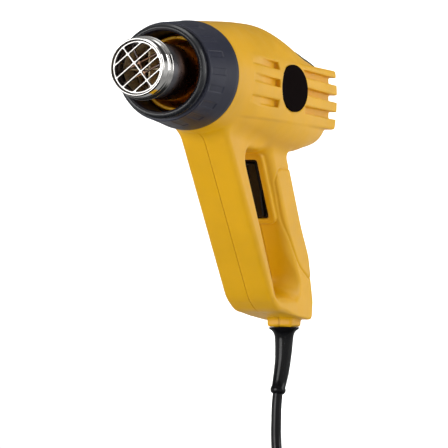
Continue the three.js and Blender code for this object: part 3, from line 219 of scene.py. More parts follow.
def smin(a, b, k):
    h = np.clip(0.5 + 0.5 * (b - a) / k, 0, 1)
    return b + (a - b) * h - k * h * (1 - h)


def smax(a, b, k):
    return -smin(-a, -b, k)


def smoothstep(x, low, high):
    t = np.clip((x - low) / (high - low), 0, 1)
    return t * t * (3 - 2 * t)


class Outline:
    """Signed distance to a closed outline, held on a fine table of (y, z) and read between its points."""
    STEP = 0.5
    LOW = np.array((-20.0, -170.0))
    SIZE = (450, 440)

    def __init__(self, corners):
        points = round_profile(corners, 10)
        ys = self.LOW[0] + self.STEP * np.arange(self.SIZE[0])
        zs = self.LOW[1] + self.STEP * np.arange(self.SIZE[1])
        grid_y, grid_z = np.meshgrid(ys, zs, indexing="ij")
        best = np.full(grid_y.shape, 1e9)
        inside = np.zeros(grid_y.shape, bool)
        for a, b in zip(points, np.roll(points, -1, 0)):
            edge = b - a
            size = edge @ edge
            if size < 1e-12:
                continue
            dy, dz = grid_y - a[0], grid_z - a[1]
            t = np.clip((dy * edge[0] + dz * edge[1]) / size, 0, 1)
            best = np.minimum(best, (dy - t * edge[0]) ** 2 + (dz - t * edge[1]) ** 2)
            if a[1] != b[1]:
                crosses = (a[1] > grid_z) != (b[1] > grid_z)
                inside ^= crosses & (grid_y < a[0] + dz * edge[0] / edge[1])
        self.table = np.where(inside, -1, 1) * np.sqrt(best)

    def __call__(self, y, z):
        u = np.clip((y - self.LOW[0]) / self.STEP, 0, self.SIZE[0] - 1.001)
        v = np.clip((z - self.LOW[1]) / self.STEP, 0, self.SIZE[1] - 1.001)
        i, j = u.astype(int), v.astype(int)
        u, v = u - i, v - j
        t = self.table
        return ((t[i, j] * (1 - u) + t[i + 1, j] * u) * (1 - v)
                + (t[i, j + 1] * (1 - u) + t[i + 1, j + 1] * u) * v)


def rounded_edge(a, b, edge):
    """Two faces that meet in an edge of the given radius."""
    a, b = a + edge, b + edge
    return np.hypot(np.maximum(a, 0), np.maximum(b, 0)) + np.minimum(meet(a, b), 0) - edge


def thick(outline_distance, x, half_width, edge):
    """An outline given a width along X, with rounded edges."""
    return rounded_edge(outline_distance, np.abs(x) - half_width, edge)


def rounded_rectangle(a, b, half_a, half_b, corner):
    return rounded_edge(np.abs(a) - half_a, np.abs(b) - half_b, corner)


def rounded_box(x, y, z, centre, half, edge):
    q = [np.abs(v - c) - h + edge for v, c, h in zip((x, y, z), centre, half)]
    return np.sqrt(sum(np.maximum(v, 0) ** 2 for v in q)) + np.minimum(meet(*q), 0) - edge


# Surfaces from distances

GROUP = 4
CORNERS = [(a, b, c) for a in (0, 1) for b in (0, 1) for c in (0, 1)]
FAR = 9.0
HALF_DIAGONAL, STEEPEST, SPARE = 0.87, 1.7, 1.0
BATCH = 400000
SLOPE_REACH, SMALLEST_SLOPE = 0.04, 0.05


def shifted(array, corner, size):
    """The part of an array that starts at a corner of its first cell."""
    a, b, c = corner
    return array[a:a + size[0], b:b + size[1], c:c + size[2]]


def spread(blocks):
    """Gives each point of the grid the value of its block."""
    for k in range(3):
        blocks = np.repeat(blocks, GROUP, k)
    return blocks


def sample(distance, low, high, step):
    """Distances on a grid, taken in full only in the blocks that the surface can pass."""
    block = step * GROUP
    blocks = np.ceil((high - low) / block).astype(int)
    count = blocks * GROUP + 1
    middles = [low[k] + block * (np.arange(blocks[k]) + 0.5) for k in range(3)]
    coarse = distance(np.stack(np.meshgrid(*middles, indexing="ij"), -1).reshape(-1, 3)).reshape(blocks)
    near = spread(np.abs(coarse) < block * HALF_DIAGONAL * STEEPEST + SPARE)
    field, active = np.full(count, FAR), np.zeros(count, bool)
    field[:-1, :-1, :-1] = spread(np.where(coarse < 0, -FAR, FAR))
    for corner in CORNERS:
        part = shifted(active, corner, near.shape)
        part |= near
    where = np.argwhere(active)
    batches = [where[start:start + BATCH] for start in range(0, len(where), BATCH)]
    field[active] = np.concatenate([distance(low + batch * step) for batch in batches])
    return field


def crossings(field):
    """The cells that the surface crosses, and in each the middle of its edges' crossings, in cells."""
    inside = field < 0
    cells = [n - 1 for n in field.shape]
    total, hits = np.zeros((*cells, 3)), np.zeros(cells)
    for p in CORNERS:
        for axis in range(3):
            if p[axis]:
                continue
            q = tuple(v + (k == axis) for k, v in enumerate(p))
            here, there = shifted(field, p, cells), shifted(field, q, cells)
            mixed = shifted(inside, p, cells) != shifted(inside, q, cells)
            t = np.where(mixed, here / np.where(mixed, here - there, 1), 0)
            for k in range(3):
                total[..., k] += np.where(mixed, p[k] + (t if k == axis else 0), 0)
            hits += mixed
    filled = hits > 0
    spots = np.argwhere(filled)
    return spots, spots + total[filled] / hits[filled][:, None]


def settle(distance, verts, step, flat, inner):
    """Moves points onto the surface; flat ones keep their X, and inner ones stay."""
    for _ in range(4):
        value = np.where(inner, 0, distance(verts))
        slope = np.stack([
            (distance(verts + reach) - distance(verts - reach)) / (2 * SLOPE_REACH)
            for reach in np.eye(3) * SLOPE_REACH
        ], -1)
        slope[flat, 0] = 0
        size = np.maximum((slope ** 2).sum(1), SMALLEST_SLOPE)
        verts = verts - np.clip(value / size, -0.4 * step, 0.4 * step)[:, None] * slope
    return verts


def quads(inside, spots):
    """A quad round each edge of the grid that the surface crosses."""
    number = np.full([n - 1 for n in inside.shape], -1)
    number[tuple(spots.T)] = np.arange(len(spots))
    unit = np.eye(3, dtype=int)
    faces = []
    for axis in range(3):
        b, c = (axis + 1) % 3, (axis + 2) % 3
        behind, ahead = [slice(None)] * 3, [slice(None)] * 3
        behind[axis], ahead[axis] = slice(None, -1), slice(1, None)
        leaving = inside[tuple(behind)]
        changed = leaving != inside[tuple(ahead)]
        for mask, flip in ((changed & leaving, False), (changed & ~leaving, True)):
            at = np.argwhere(mask)
            at = at[(at[:, (b, c)] > 0).all(1) & (at < number.shape).all(1)]
            corners = at - unit[b] - unit[c], at - unit[c], at, at - unit[b]
            ring = np.stack([number[tuple(corner.T)] for corner in corners], 1)
            faces.append(ring[:, ::-1] if flip else ring)
    faces = np.concatenate(faces)
    return faces[(faces >= 0).all(1)]


def surface(distance, low, high, step, seam=None):
    """Points and quads of the surface where distance is zero, with one point in each cell that it crosses.

    seam = (place on X, side kept) ends the form at a flat face with a crisp edge round it.
    """
    low, high = np.array(low, float), np.array(high, float)
    plane, side = seam or (-np.inf, 1)
    if seam:
        low[0] = plane + (np.floor((low[0] - plane) / step) + 0.5) * step

    def beyond(points):
        return (plane - points[:, 0]) * side

    field = sample(lambda points: meet(distance(points), beyond(points)), low, high, step)
    inside = field < 0
    spots, middles = crossings(field)
    verts = low + middles * step
    flat = np.abs(beyond(verts)) < 0.55 * step
    verts[flat, 0] = plane
    i, j, k = spots.T
    i = i + (side > 0)
    around = sum(inside[i, j + dj, k + dk].astype(int) for dj in (0, 1) for dk in (0, 1))
    return settle(distance, verts, step, flat, flat & (around == 4)), quads(inside, spots)


def form(name, distance, low, high, step, material, body="body", seam=None, move=None):
    """A piece made from a distance, moved from its own frame if need be; seam as in surface()."""
    verts, faces = surface(distance, low, high, step, seam)
    piece = new_object(name, move(verts) if move else verts, faces.tolist(), material, body)

    def crisp_rim(work):
        rim = {v for v in work.verts if abs(v.co.x - seam[0] * MM) < 1e-6}
        for edge in work.edges:
            if edge.verts[0] in rim and edge.verts[1] in rim and edge.is_manifold:
                edge.smooth = edge.calc_face_angle(0) < 40 * DEGREE

    return rework(piece, crisp_rim) if seam else piece


# Materials: every number that is the same all over a surface sits on the shader's own socket

GRAIN_DEPTH, STREAK_DEPTH, PIT_DEPTH = 0.00004, 0.00005, 0.00015
MIX_AMOUNT, MIX_A, MIX_B = 0, 6, 7


class Nodes:
    """The nodes of a material or world; an input is named in small letters, such as from_min."""

    def __init__(self, owner, shader="Principled BSDF", space="Object"):
        owner.use_nodes = True
        self.owner, self.tree = owner, owner.node_tree
        self.shader = self.tree.nodes[shader]
        self.spot = self.tree.nodes.new("ShaderNodeTexCoord").outputs[space]

    def feed(self, socket, value):
        if isinstance(value, bpy.types.NodeSocket):
            self.tree.links.new(value, socket)
        else:
            socket.default_value = (*value, 1) if isinstance(value, tuple) else value

    def fill(self, node, inputs):
        for key, value in inputs.items():
            self.feed(node.inputs[key.replace("_", " ").title().replace("Ior", "IOR")], value)
        return node

    def new(self, kind, **inputs):
        return self.fill(self.tree.nodes.new(f"ShaderNode{kind}"), inputs)

    def noise(self, scale, detail, roughness=0.6, stretch=None):
        spot = self.spot
        if stretch:
            mapping = self.new("Mapping", vector=spot)
            mapping.inputs["Scale"].default_value = stretch
            spot = mapping.outputs["Vector"]
        node = self.new("TexNoise", vector=spot, scale=scale, detail=detail, roughness=roughness)
        return node.outputs["Fac"]

    def ramp(self, value, stops):
        node = self.new("ValToRGB", fac=value)
        ramp = node.color_ramp
        while len(ramp.elements) < len(stops):
            ramp.elements.new(0.5)
        for element, (at, color) in zip(ramp.elements, stops):
            element.position = at
            element.color = (*color, 1)
        return node.outputs["Color"]

    def range(self, value, low, high, to_low, to_high):
        node = self.new("MapRange", value=value, from_min=low, from_max=high, to_min=to_low, to_max=to_high)
        return node.outputs["Result"]

    def along(self, axis, low, high):
        """0 to 1 between two places on an axis."""
        split = self.new("SeparateXYZ", vector=self.spot)
        return self.range(split.outputs[axis], low, high, 0.0, 1.0)

    def patchy(self, scale, detail, low, high):
        """A value that wanders between two others in patches."""
        return self.range(self.noise(scale, detail), 0.3, 0.7, low, high)

    def mix(self, amount, a, b):
        node = self.new("Mix")
        node.data_type = "RGBA"
        for socket, value in ((MIX_AMOUNT, amount), (MIX_A, a), (MIX_B, b)):
            self.feed(node.inputs[socket], value)
        return node.outputs[2]

    def bump(self, height, strength, distance):
        return self.new("Bump", height=height, strength=strength, distance=distance).outputs["Normal"]

    def finish(self, **inputs):
        self.fill(self.shader, inputs)
        return self.owner


def material_nodes(name):
    return Nodes(bpy.data.materials.new(name))


def shade(color, factor):
    return tuple(min(c * factor, 1.0) for c in color)


def moulded(name, color, low, high, grain=0.25, grain_size=2600.0, worn=None, **constants):
    """Moulded plastic: spark-eroded grain, faint flow marks, and edges rubbed towards another colour."""
    n = material_nodes(name)
    base = n.ramp(n.noise(28, 4, 0.55), [(0.3, shade(color, 0.94)), (0.7, shade(color, 1.05))])
    if worn:
        edges = n.new("NewGeometry").outputs["Pointiness"]
        base = n.mix(n.range(edges, 0.52, 0.60, 0.0, 0.45), base, worn)
    fine = n.bump(n.noise(grain_size, 2), grain, GRAIN_DEPTH)
    return n.finish(base_color=base, roughness=n.patchy(60, 3, low, high), normal=fine, **constants)


def metal(name, color, low, high, brushed=(1.0, 0.05, 1.0), tint=None, grain=0.1):
    """Metal with drawn or brushed streaks; tint = (colour, scale) is a heat or oxide film in clouds."""
    n = material_nodes(name)
    streaks = n.noise(900, 4, stretch=brushed)
    base = n.ramp(streaks, [(0.25, shade(color, 0.86)), (0.75, shade(color, 1.06))])
    if tint:
        film, scale = tint
        base = n.mix(n.range(n.noise(scale, 5), 0.42, 0.68, 0.0, 1.0), base, film)
    normal = n.bump(streaks, grain, STREAK_DEPTH)
    return n.finish(base_color=base, roughness=n.patchy(120, 4, low, high), normal=normal, metallic=1.0)


def steel_with_painted_reflection(name):
    """Steel with a painted reflection: straw and brown painted towards its rear, standing in for the yellow
    housing mirrored inside the collar.
    """
    n = material_nodes(name)
    streaks = n.noise(900, 4, stretch=(1.0, 0.05, 1.0))
    steel = n.ramp(streaks, [(0.25, (0.17, 0.165, 0.175)), (0.75, (0.24, 0.23, 0.245))])
    # painted reflection: warm clouds that stand in for the yellow housing mirrored by the tube inside the
    # collar
    painted_reflection = n.ramp(n.noise(90, 5), [(0.35, (0.62, 0.22, 0.035)), (0.65, (0.42, 0.12, 0.02))])
    base = n.mix(n.along("Y", -0.196, -0.172), steel, painted_reflection)
    normal = n.bump(streaks, 0.1, STREAK_DEPTH)
    return n.finish(base_color=base, roughness=n.patchy(120, 4, 0.24, 0.34), normal=normal, metallic=1.0)


def mineral(name, color, dark, scale, roughness):
    """Mica or ceramic: darker clouds, pale specks and fine pits."""
    n = material_nodes(name)
    base = n.ramp(n.noise(scale, 5, 0.65), [(0.3, dark), (0.65, color)])
    speck = n.range(n.noise(scale * 9, 2, 0.5), 0.60, 0.72, 0.0, 0.5)
    base = n.mix(speck, base, shade(color, 1.25))
    pits = n.bump(n.noise(scale * 6, 3), 0.4, PIT_DEPTH)
    return n.finish(base_color=base, roughness=roughness, normal=pits)


YELLOW = moulded("yellow_shell", (0.78, 0.408, 0.001), 0.34, 0.46, grain=0.22, worn=(0.84, 0.45, 0.012),
                 specular_ior_level=0.38)
COLLAR = moulded("collar_plastic", (0.021, 0.023, 0.041), 0.36, 0.48, grain=0.35, worn=(0.065, 0.072, 0.105),
                 specular_ior_level=0.3)
BLACK = moulded("black_plastic", (0.011, 0.011, 0.013), 0.30, 0.42, grain=0.3, worn=(0.05, 0.05, 0.055))
LIP = moulded("collar_lip", (0.012, 0.013, 0.016), 0.22, 0.34, grain=0.2, worn=(0.05, 0.05, 0.06))
GLOSS = moulded("switch_gloss", (0.008, 0.006, 0.006), 0.07, 0.14, grain=0.03, coat_weight=0.1,
                coat_roughness=0.05, specular_ior_level=0.22)
BADGE = moulded("badge_face", (0.007, 0.005, 0.005), 0.5, 0.6, grain=0.05, specular_ior_level=0.0)
RUBBER = moulded("lead_rubber", (0.005, 0.005, 0.006), 0.16, 0.26, grain=0.08, grain_size=1400.0,
                 specular_ior_level=0.2)
CLAMP = moulded("clamp_plastic", (0.62, 0.58, 0.50), 0.45, 0.6, worn=(0.7, 0.68, 0.62))
BOARD = moulded("circuit_board", (0.035, 0.16, 0.055), 0.35, 0.5)
BROWN = moulded("wire_brown", (0.15, 0.055, 0.02), 0.35, 0.5)
BLUE = moulded("wire_blue", (0.025, 0.09, 0.38), 0.35, 0.5)
RED = moulded("wire_red", (0.26, 0.03, 0.02), 0.35, 0.5)
CHROME = metal("chrome", (0.64, 0.625, 0.60), 0.07, 0.16, brushed=(0.05, 1.0, 0.05), grain=0.03)
GRILLE_PLATING = metal("grille_plating", (0.36, 0.35, 0.335), 0.24, 0.36, grain=0.03)
DARK_STEEL = metal("dark_steel", (0.13, 0.12, 0.125), 0.30, 0.44, tint=((0.16, 0.075, 0.03), 60))
# the tube's rear carries a painted reflection of the yellow housing, in warm colour
TUBE_STEEL = steel_with_painted_reflection("tube_steel")
BRIGHT_STEEL = metal("bright_steel", (0.55, 0.55, 0.56), 0.24, 0.36)
COPPER = metal("copper", (0.62, 0.27, 0.12), 0.25, 0.4)
BRASS = metal("brass", (0.66, 0.46, 0.16), 0.25, 0.4)
COIL_WIRE = metal("heating_wire", (0.55, 0.47, 0.40), 0.35, 0.5, tint=((0.34, 0.20, 0.13), 150))
MICA = mineral("mica", (0.84, 0.66, 0.40), (0.68, 0.50, 0.27), 90, 0.5)
CERAMIC = mineral("ceramic", (0.74, 0.68, 0.56), (0.66, 0.59, 0.46), 140, 0.6)


# The lead: one unbroken line from the strain relief into a tied coil on the surface

RELIEF_END = np.array((-2.82, 162.25, -204.4))
CORD_RADIUS = 3.5
CORD_LENGTH = 1800.0
CORD_FLOOR = -267.3
HEADING = np.array((math.cos(-30 * DEGREE), math.sin(-30 * DEGREE)))
COIL_RUN = 45.0
BEND = 31.0
LANDING = RELIEF_END[:2] - (0.7, 0.9)
COIL_INNER, COIL_PITCH, INNER_TURNS = 28.6, 7.7, 3.25
LAYER_RISE = 7.6
COIL_STEPS = 18
COIL_ENTRY = 7.3
TAIL = 34.0


def over_floor(run, up=0.0):
    """A point on the line that the lead takes from its landing, at a height over the floor."""
    return np.array((*(LANDING + HEADING * run), CORD_FLOOR + up))


def coil_point(angle, centre, facing):
    """A point of the coil, which winds inwards, steps up a layer and winds out again."""
    turn_at = 2 * math.pi * INNER_TURNS
    radius = COIL_INNER + COIL_PITCH * abs(turn_at - angle) / (2 * math.pi)
    climb = float(smoothstep(angle, turn_at - math.pi / 2, turn_at + math.pi / 2))
    bearing = facing - angle
    return np.array((
        centre[0] + radius * math.cos(bearing), centre[1] + radius * math.sin(bearing),
        CORD_FLOOR + LAYER_RISE * climb,
    ))


def lead_route():
    """The lead's points from the strain relief to the plug, and the way that its end points."""
    points = [
        RELIEF_END + (-0.003, -0.004, -0.05), RELIEF_END + (-0.45, -0.6, -7),
        np.array((*LANDING, RELIEF_END[2] - 18)),
    ]
    for angle in range(0, 91, 18):
        a = angle * DEGREE
        points.append(over_floor(BEND * (1 - math.cos(a)), BEND * (1 - math.sin(a))))
    points += [over_floor(BEND + run) for run in (COIL_RUN / 3, COIL_RUN / 1.5, COIL_RUN)]
    points.append(over_floor(BEND + COIL_RUN + COIL_ENTRY))
    outer = COIL_INNER + COIL_PITCH * INNER_TURNS
    centre = points[-1][:2] + np.array((HEADING[1], -HEADING[0])) * outer
    facing = math.atan2(HEADING[1], HEADING[0]) + math.pi / 2
    length = sum(np.linalg.norm(b - a) for a, b in zip(points, points[1:]))
    k = 0
    while length < CORD_LENGTH - TAIL:
        k += 1
        points.append(coil_point(2 * math.pi * k / COIL_STEPS, centre, facing))
        length += np.linalg.norm(points[-1] - points[-2])
    ahead = points[-1] - points[-2]
    ahead = unit(np.array((*spin(*ahead[:2], -math.pi / COIL_STEPS), 0)))
    for _ in range(2):
        points.append(points[-1] + ahead * TAIL / 2)
    return np.array(points), ahead


def make_lead():
    points, _ = lead_route()
    data = bpy.data.curves.new("lead", "CURVE")
    data.dimensions = "3D"
    data.bevel_depth = CORD_RADIUS * MM
    data.bevel_resolution = 5
    data.resolution_u = 4
    data.use_fill_caps = True
    spline = data.splines.new("BEZIER")
    spline.bezier_points.add(len(points) - 1)
    for knot, spot in zip(spline.bezier_points, place(points)):
        knot.co = spot
        knot.handle_left_type = knot.handle_right_type = "AUTO"
    data.materials.append(RUBBER)
    lead = add("lead", data)
    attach(lead, "body")
    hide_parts("cord_free", "cord_coil")
    tuple(place(RELIEF_END))


make_lead()


# Floor, backdrop and light

FLOOR = (-272 + SHIFT[2]) * MM
FLOOR_SINK = 0.0005
STAGE_HALF, STAGE_FRONT, STAGE_REAR, STAGE_SWEEP, STAGE_TOP = 8.0, -8.0, 6.0, 1.6, 6.0
WORLD_STRENGTH = 0.85
WORLD_LEVELS = (
    (-0.7, 0.02), (-0.5, 0.5), (-0.25, 0.4), (-0.1, 0.85), (0.15, 0.85), (0.24, 0.07), (0.5, 0.07),
    (0.7, 0.5),
)


def make_stage():
    n = material_nodes("floor")
    base = n.ramp(n.noise(6, 3, 0.5), [(0.3, (0.86, 0.86, 0.86)), (0.7, (0.90, 0.90, 0.90))])
    pale = n.finish(base_color=base, roughness=0.6, normal=n.bump(n.noise(300, 2, 0.5), 0.05, 0.0002))
    profile = [(STAGE_FRONT, 0.0), (STAGE_REAR, 0.0)]
    for k in range(1, 17):
        a = k / 16 * math.pi / 2
        profile.append((STAGE_REAR + STAGE_SWEEP * math.sin(a), STAGE_SWEEP * (1 - math.cos(a))))
    profile.append((STAGE_REAR + STAGE_SWEEP, STAGE_TOP))
    level, count = FLOOR - FLOOR_SINK, len(profile)
    verts = [(across, along, level + up) for across in (-STAGE_HALF, STAGE_HALF) for along, up in profile]
    faces = [(k, k + 1, count + k + 1, count + k) for k in range(count - 1)]
    floor = new_object("floor", verts, faces, pale, body=None, placed=True)
    floor.visible_glossy = False


def area_light(name, spot, size, power, target=(0, 0, 0.03)):
    data = bpy.data.lights.new(name, "AREA")
    data.shape = "RECTANGLE"
    data.size, data.size_y = size
    data.energy = power
    light = add(name, data)
    light.location = spot
    light.rotation_euler = (Vector(target) - Vector(spot)).to_track_quat("-Z", "Y").to_euler()


def make_lights():
    """A studio of soft grey bands that the metal mirrors, and five lamps."""
    n = Nodes(bpy.data.worlds.new("studio"), "Background", "Generated")
    stops = [((up + 1) / 2, (level, level, level)) for up, level in WORLD_LEVELS]
    color = n.ramp(n.along("Z", -1.0, 1.0), stops)
    bpy.context.scene.world = n.finish(color=color, strength=WORLD_STRENGTH)
    area_light("key", (-1.0, -2.3, 0.1), (1.4, 1.4), 38)
    area_light("side", (2.0, 0.5, 0.7), (0.9, 1.6), 21)
    area_light("front", (-0.25, -2.3, 0.1), (0.35, 0.35), 2.8)
    area_light("top", (0.3, 0.3, 2.0), (1.2, 1.2), 9)
    area_light("backdrop", (0.0, 3.6, 3.2), (5.0, 2.0), 600, (0, 6.2, 0.1))
    bpy.context.scene.view_settings.view_transform = "Standard"


make_stage()
make_lights()


# The housing, as distances in the barrel's frame

WALL = 2.7
SEAM = 0.18
BARREL_LENGTH = 176.0
COLLAR_RADIUS = 35.0


def smooth_table(at, values):
    """Values between the given ones on one smooth line, as a fine table for np.interp."""
    slopes = np.gradient(values, at)
    fine = np.linspace(at[0], at[-1], 600)
    k = np.clip(np.searchsorted(at, fine, side="right") - 1, 0, len(at) - 2)
    width = at[k + 1] - at[k]
    t = (fine - at[k]) / width
    return fine, (
        (2 * t ** 3 - 3 * t ** 2 + 1) * values[k] + (t ** 3 - 2 * t ** 2 + t) * width * slopes[k]
        + (3 * t ** 2 - 2 * t ** 3) * values[k + 1] + (t ** 3 - t ** 2) * width * slopes[k + 1]
    )


SECTION_AT = np.array((0, 0.2, 0.4, 0.54, 0.68, 0.8, 0.9, 1.0)) * BARREL_LENGTH
SECTIONS = [smooth_table(SECTION_AT, COLLAR_RADIUS + np.array(swell)) for swell in (
    (0, 0.5, 0.2, -0.3, -1, -2, -3, -5),
    (0, 2.4, 4.2, 4.1, -0.7, -7.5, -11.4, -15.9),
    (0, 2.7, 5.4, 7.6, 8.9, 8.5, 5.5, 2.8),
)]


def barrel_section(y, z):
    """The barrel's half width, and its reach over or under the axis."""
    side, top, bottom = [np.interp(y, *table) for table in SECTIONS]
    return side, np.where(z < 0, bottom, top)


def barrel_skin(x, y, z):
    """Distance to the barrel's side surface, without its ends."""
    side, tall = barrel_section(y, z)
    power = np.where(z < 0, 2 + 1.4 * smoothstep(y, 20, 160), 2.0)
    u, v = np.abs(x) / side, np.abs(z) / tall
    total = np.maximum(u ** power + v ** power, 1e-6)
    level = total ** (1 / power)
    slope_x = u ** (power - 1) / side
    slope_z = v ** (power - 1) / tall
    slope = np.hypot(slope_x, slope_z) * total ** (1 / power - 1)
    return (level - 1) / np.maximum(slope, 0.5 / COLLAR_RADIUS)


def barrel(x, y, z):
    return smax(smax(barrel_skin(x, y, z), y - BARREL_LENGTH, 7.0), -y, 0.5)


PANEL_START, PANEL_TIP = 6.0, 181.0
PANEL_TOP, PANEL_BOTTOM = (16.0, 13.6), (-25.0, -26.4)
PANEL_FLAT, PANEL_CROWN = 33.4, 1.7


def panel_x(y, z):
    side, tall = barrel_section(y, z)
    rounded = side * np.sqrt(np.maximum(1 - (z / tall) ** 2, 0))
    middle = (PANEL_TOP[0] + PANEL_BOTTOM[0]) / 2
    flat = PANEL_FLAT - PANEL_CROWN * ((z - middle) / (PANEL_TOP[0] - middle)) ** 2
    rise = 0.25 - (1 - smoothstep(y, PANEL_START, 50))
    return rounded + (flat - rounded) * smoothstep(y, PANEL_START, 95) + rise


def along_panel(ends, y):
    return ends[0] + (ends[1] - ends[0]) * (y - PANEL_START) / (PANEL_TIP - PANEL_START)


def panel(x, y, z):
    out = np.abs(x) - panel_x(y, z)
    height = meet(z - along_panel(PANEL_TOP, y), along_panel(PANEL_BOTTOM, y) - z)
    length = span(y, PANEL_START, PANEL_TIP)
    inward = 10.0 - np.abs(x)
    return smax(smax(smax(out, height, 1.6), length, 2.2), inward, 1.0)


GROOVES = ((9.7, 6.0), (-1.7, -5.7), (-14.8, -17.0))
GROOVE_HALF = 2.4
RAMP_START, RAMP_END, RAMP_DEPTH = 26.0, 72.0, 2.6
SLOT_START, SLOT_END, SLOT_FLOOR = 120.0, 176.0, 29.2


def grooves(x, y, z):
    """Distance to the space of the grooves: a ramp before the badge and an open slot behind it."""
    best = np.full(np.shape(x), 99.0)
    across = np.abs(x)
    for front, rear in GROOVES:
        middle = front + (rear - front) * (y - RAMP_END) / (PANEL_TIP - RAMP_END)
        height = np.abs(z - middle) - GROOVE_HALF
        depth = 0.1 - (RAMP_DEPTH + 0.1) * (y - RAMP_START) / (RAMP_END - RAMP_START)
        floor = panel_x(y, np.full(np.shape(y), front)) + depth
        ramp = meet(floor - across, height, span(y, RAMP_START, RAMP_END))
        slot = meet(SLOT_FLOOR - across, height, SLOT_START - y)
        mouth = meet(10.0 - across, height, SLOT_END - y)
        best = join(best, ramp, slot, mouth)
    return best


BADGE_Y, BADGE_Z, BADGE_LONG, BADGE_HIGH = 99.0, -3.2, 48.0, 31.0


def oval(y, z, grow):
    a, b = BADGE_LONG / 2 + grow, BADGE_HIGH / 2 + grow
    u, v = (y - BADGE_Y) / a, (z - BADGE_Z) / b
    level = np.hypot(u, v)
    return (level - 1) * level / np.maximum(np.hypot(u / a, v / b), 1e-3)


BADGE_FLOOR = float(panel_x(np.array(BADGE_Y), np.array(BADGE_Z))) - 0.6

# The handle, seen from the side
RAKE = 30 * DEGREE
DOWN_GRIP = np.array((math.sin(RAKE), -math.cos(RAKE)))
ACROSS_GRIP = np.array((math.cos(RAKE), math.sin(RAKE)))
GRIP_TOP = np.array((99.0, -48.3))
GRIP_LENGTH, GRIP_DEPTH_TOP, GRIP_DEPTH_FOOT = 104.0, 31.5, 31.0
HANDLE_HALF, GUARD_EDGE, GRIP_EDGE, FLARE_EDGE, PAD_STEP = 17.0, 3.6, 7.0, 2.3, 0.3


def grip_front(t):
    return GRIP_TOP + DOWN_GRIP * t


def behind_front(t, reach):
    return grip_front(t) + ACROSS_GRIP * reach


def grip_rear(t):
    return behind_front(t, GRIP_DEPTH_TOP + (GRIP_DEPTH_FOOT - GRIP_DEPTH_TOP) * t / GRIP_LENGTH)


HANDLE = Outline([
    (21.5, -34), (31.5, -47), (102.2, -141.4, 22), (116, -149.2, 26), (176, -155, 5), (180, -143, 8),
    (*grip_rear(90), 40), (*grip_rear(2), 22), (grip_rear(0)[0] + 4, -18), (21.5, -18),
])
LOOP = Outline([
    (51.5, -44, 7), (95, -44, 8), (*grip_front(5), 14), (*grip_front(101), 9), (111.2, -139, 9),
])
PAD = Outline([
    (*behind_front(9, 3), 7), behind_front(42, 60), behind_front(103, 60), behind_front(104, 22),
    (*behind_front(86, 9.5), 40), (*behind_front(50, 2.2), 60),
])
FLARE = Outline([
    (106, -132, 3), grip_front(62), (*behind_front(84, 5), 30), (*behind_front(98, 7.5), 12),
    (152.5, -143, 9), (112, -140.8, 8),
])


def grip_places(y, z, origin):
    """How far points lie down the grip and behind its front line, from an origin on that line."""
    dy, dz = y - origin[0], z - origin[1]
    return dy * DOWN_GRIP[0] + dz * DOWN_GRIP[1], dy * ACROSS_GRIP[0] + dz * ACROSS_GRIP[1]


def handle(x, y, z, inset=0.0):
    down, behind = grip_places(y, z, GRIP_TOP)
    on_grip = (1 - smoothstep(down, 62, 96)) * smoothstep(behind, -14, -3)
    at_flare = smoothstep(down, 62, 92) * smoothstep(behind, -30, -10) * (1 - smoothstep(behind, 12, 20))
    edge = GUARD_EDGE + (GRIP_EDGE - GUARD_EDGE) * on_grip - FLARE_EDGE * at_flare
    opening = LOOP(y, z)
    flared = join(opening, FLARE(y, z))
    opening = opening + (flared - opening) * np.minimum(np.abs(x) / HANDLE_HALF, 1) ** 2.2
    side_view = smax(HANDLE(y, z), -opening, 0.4) + inset
    return thick(side_view, x, HANDLE_HALF - inset, np.maximum(edge - inset, 1.0))


SWITCH = grip_front(22)
BEZEL_HALF, BEZEL_LONG, BEZEL_HEIGHT, BEZEL_CORNER, BEZEL_SUNK = 12.4, 26.5, 3.2, 4.0, 2.9


def at_switch(y, z):
    """Depth behind the grip's front face and height along it, from the switch's middle."""
    down, depth = grip_places(y, z, SWITCH)
    return depth, -down


def bezel(x, y, z):
    depth, height = at_switch(y, z)
    face = rounded_rectangle(x, height, BEZEL_HALF, BEZEL_LONG, BEZEL_CORNER)
    return smax(face, np.abs(depth - BEZEL_SUNK) - BEZEL_SUNK - BEZEL_HEIGHT, 1.6)


def switch_space(x, y, z):
    """Distances to the opening that the rocker shows in and to the room behind it."""
    depth, height = at_switch(y, z)
    opening = meet(rounded_rectangle(x, height, 8.2, 22.1, 2.2), np.abs(depth) - 7)
    room = meet(np.abs(x) - 11.6, np.abs(height) - 24.6, np.abs(depth - 6.8) - 3.9)
    return opening, room


BOSS_Y, BOSS_BOTTOM = 167.0, -159.4
SCREWS = ((15, 28, 9), (15, -28, 9), (116, 27, 8), (48.5, -53, 9), (126, -144, 9), (136.5, -97.5, 9))
SPIGOT_RADIUS, NOSE_RADIUS = 31.0, 21.8
POST_RADIUS, HEAD_RADIUS, SHANK_RADIUS = 4.8, 3.5, 1.8
SEATS = ((35.5, 37.3, 19.8), (39.1, 40.9, 21.8))
WEB_ANGLES, LUG_ANGLES = (-30, -150, 90), (0, 120, 240)


def outer_form(x, y, z):
    """The housing's outside, closed."""
    radial = np.hypot(x, z)
    body = smin(barrel(x, y, z), panel(x, y, z), 1.2)
    body = smax(body, -grooves(x, y, z), 0.7)
    grip = handle(x, y, z)
    edge_of_pad = PAD(y, z)
    pad = smax(edge_of_pad, grip - PAD_STEP, 0.5)
    grip = smin(grip, pad, 0.3)
    grip = grip + 0.55 * np.exp(-((edge_of_pad - 0.2) / 0.65) ** 2)
    grip = smin(grip, bezel(x, y, z), 0.6)
    lug_box = rounded_box(x, y, z, (0, BOSS_Y, -149), (9, 9.5, 10.4), 2.0)
    grip = smin(grip, lug_box, 2.2)
    body = smin(body, grip, 6.0 * smoothstep(-z, 14, 26) + 0.2)
    badge = smax(oval(y, z, 0.3), BADGE_FLOOR - np.abs(x), 0.1)
    body = smax(body, -badge, 0.35)
    spigot = smax(radial - SPIGOT_RADIUS, span(y, -12.0, 2), 0.6)
    return join(body, spigot)


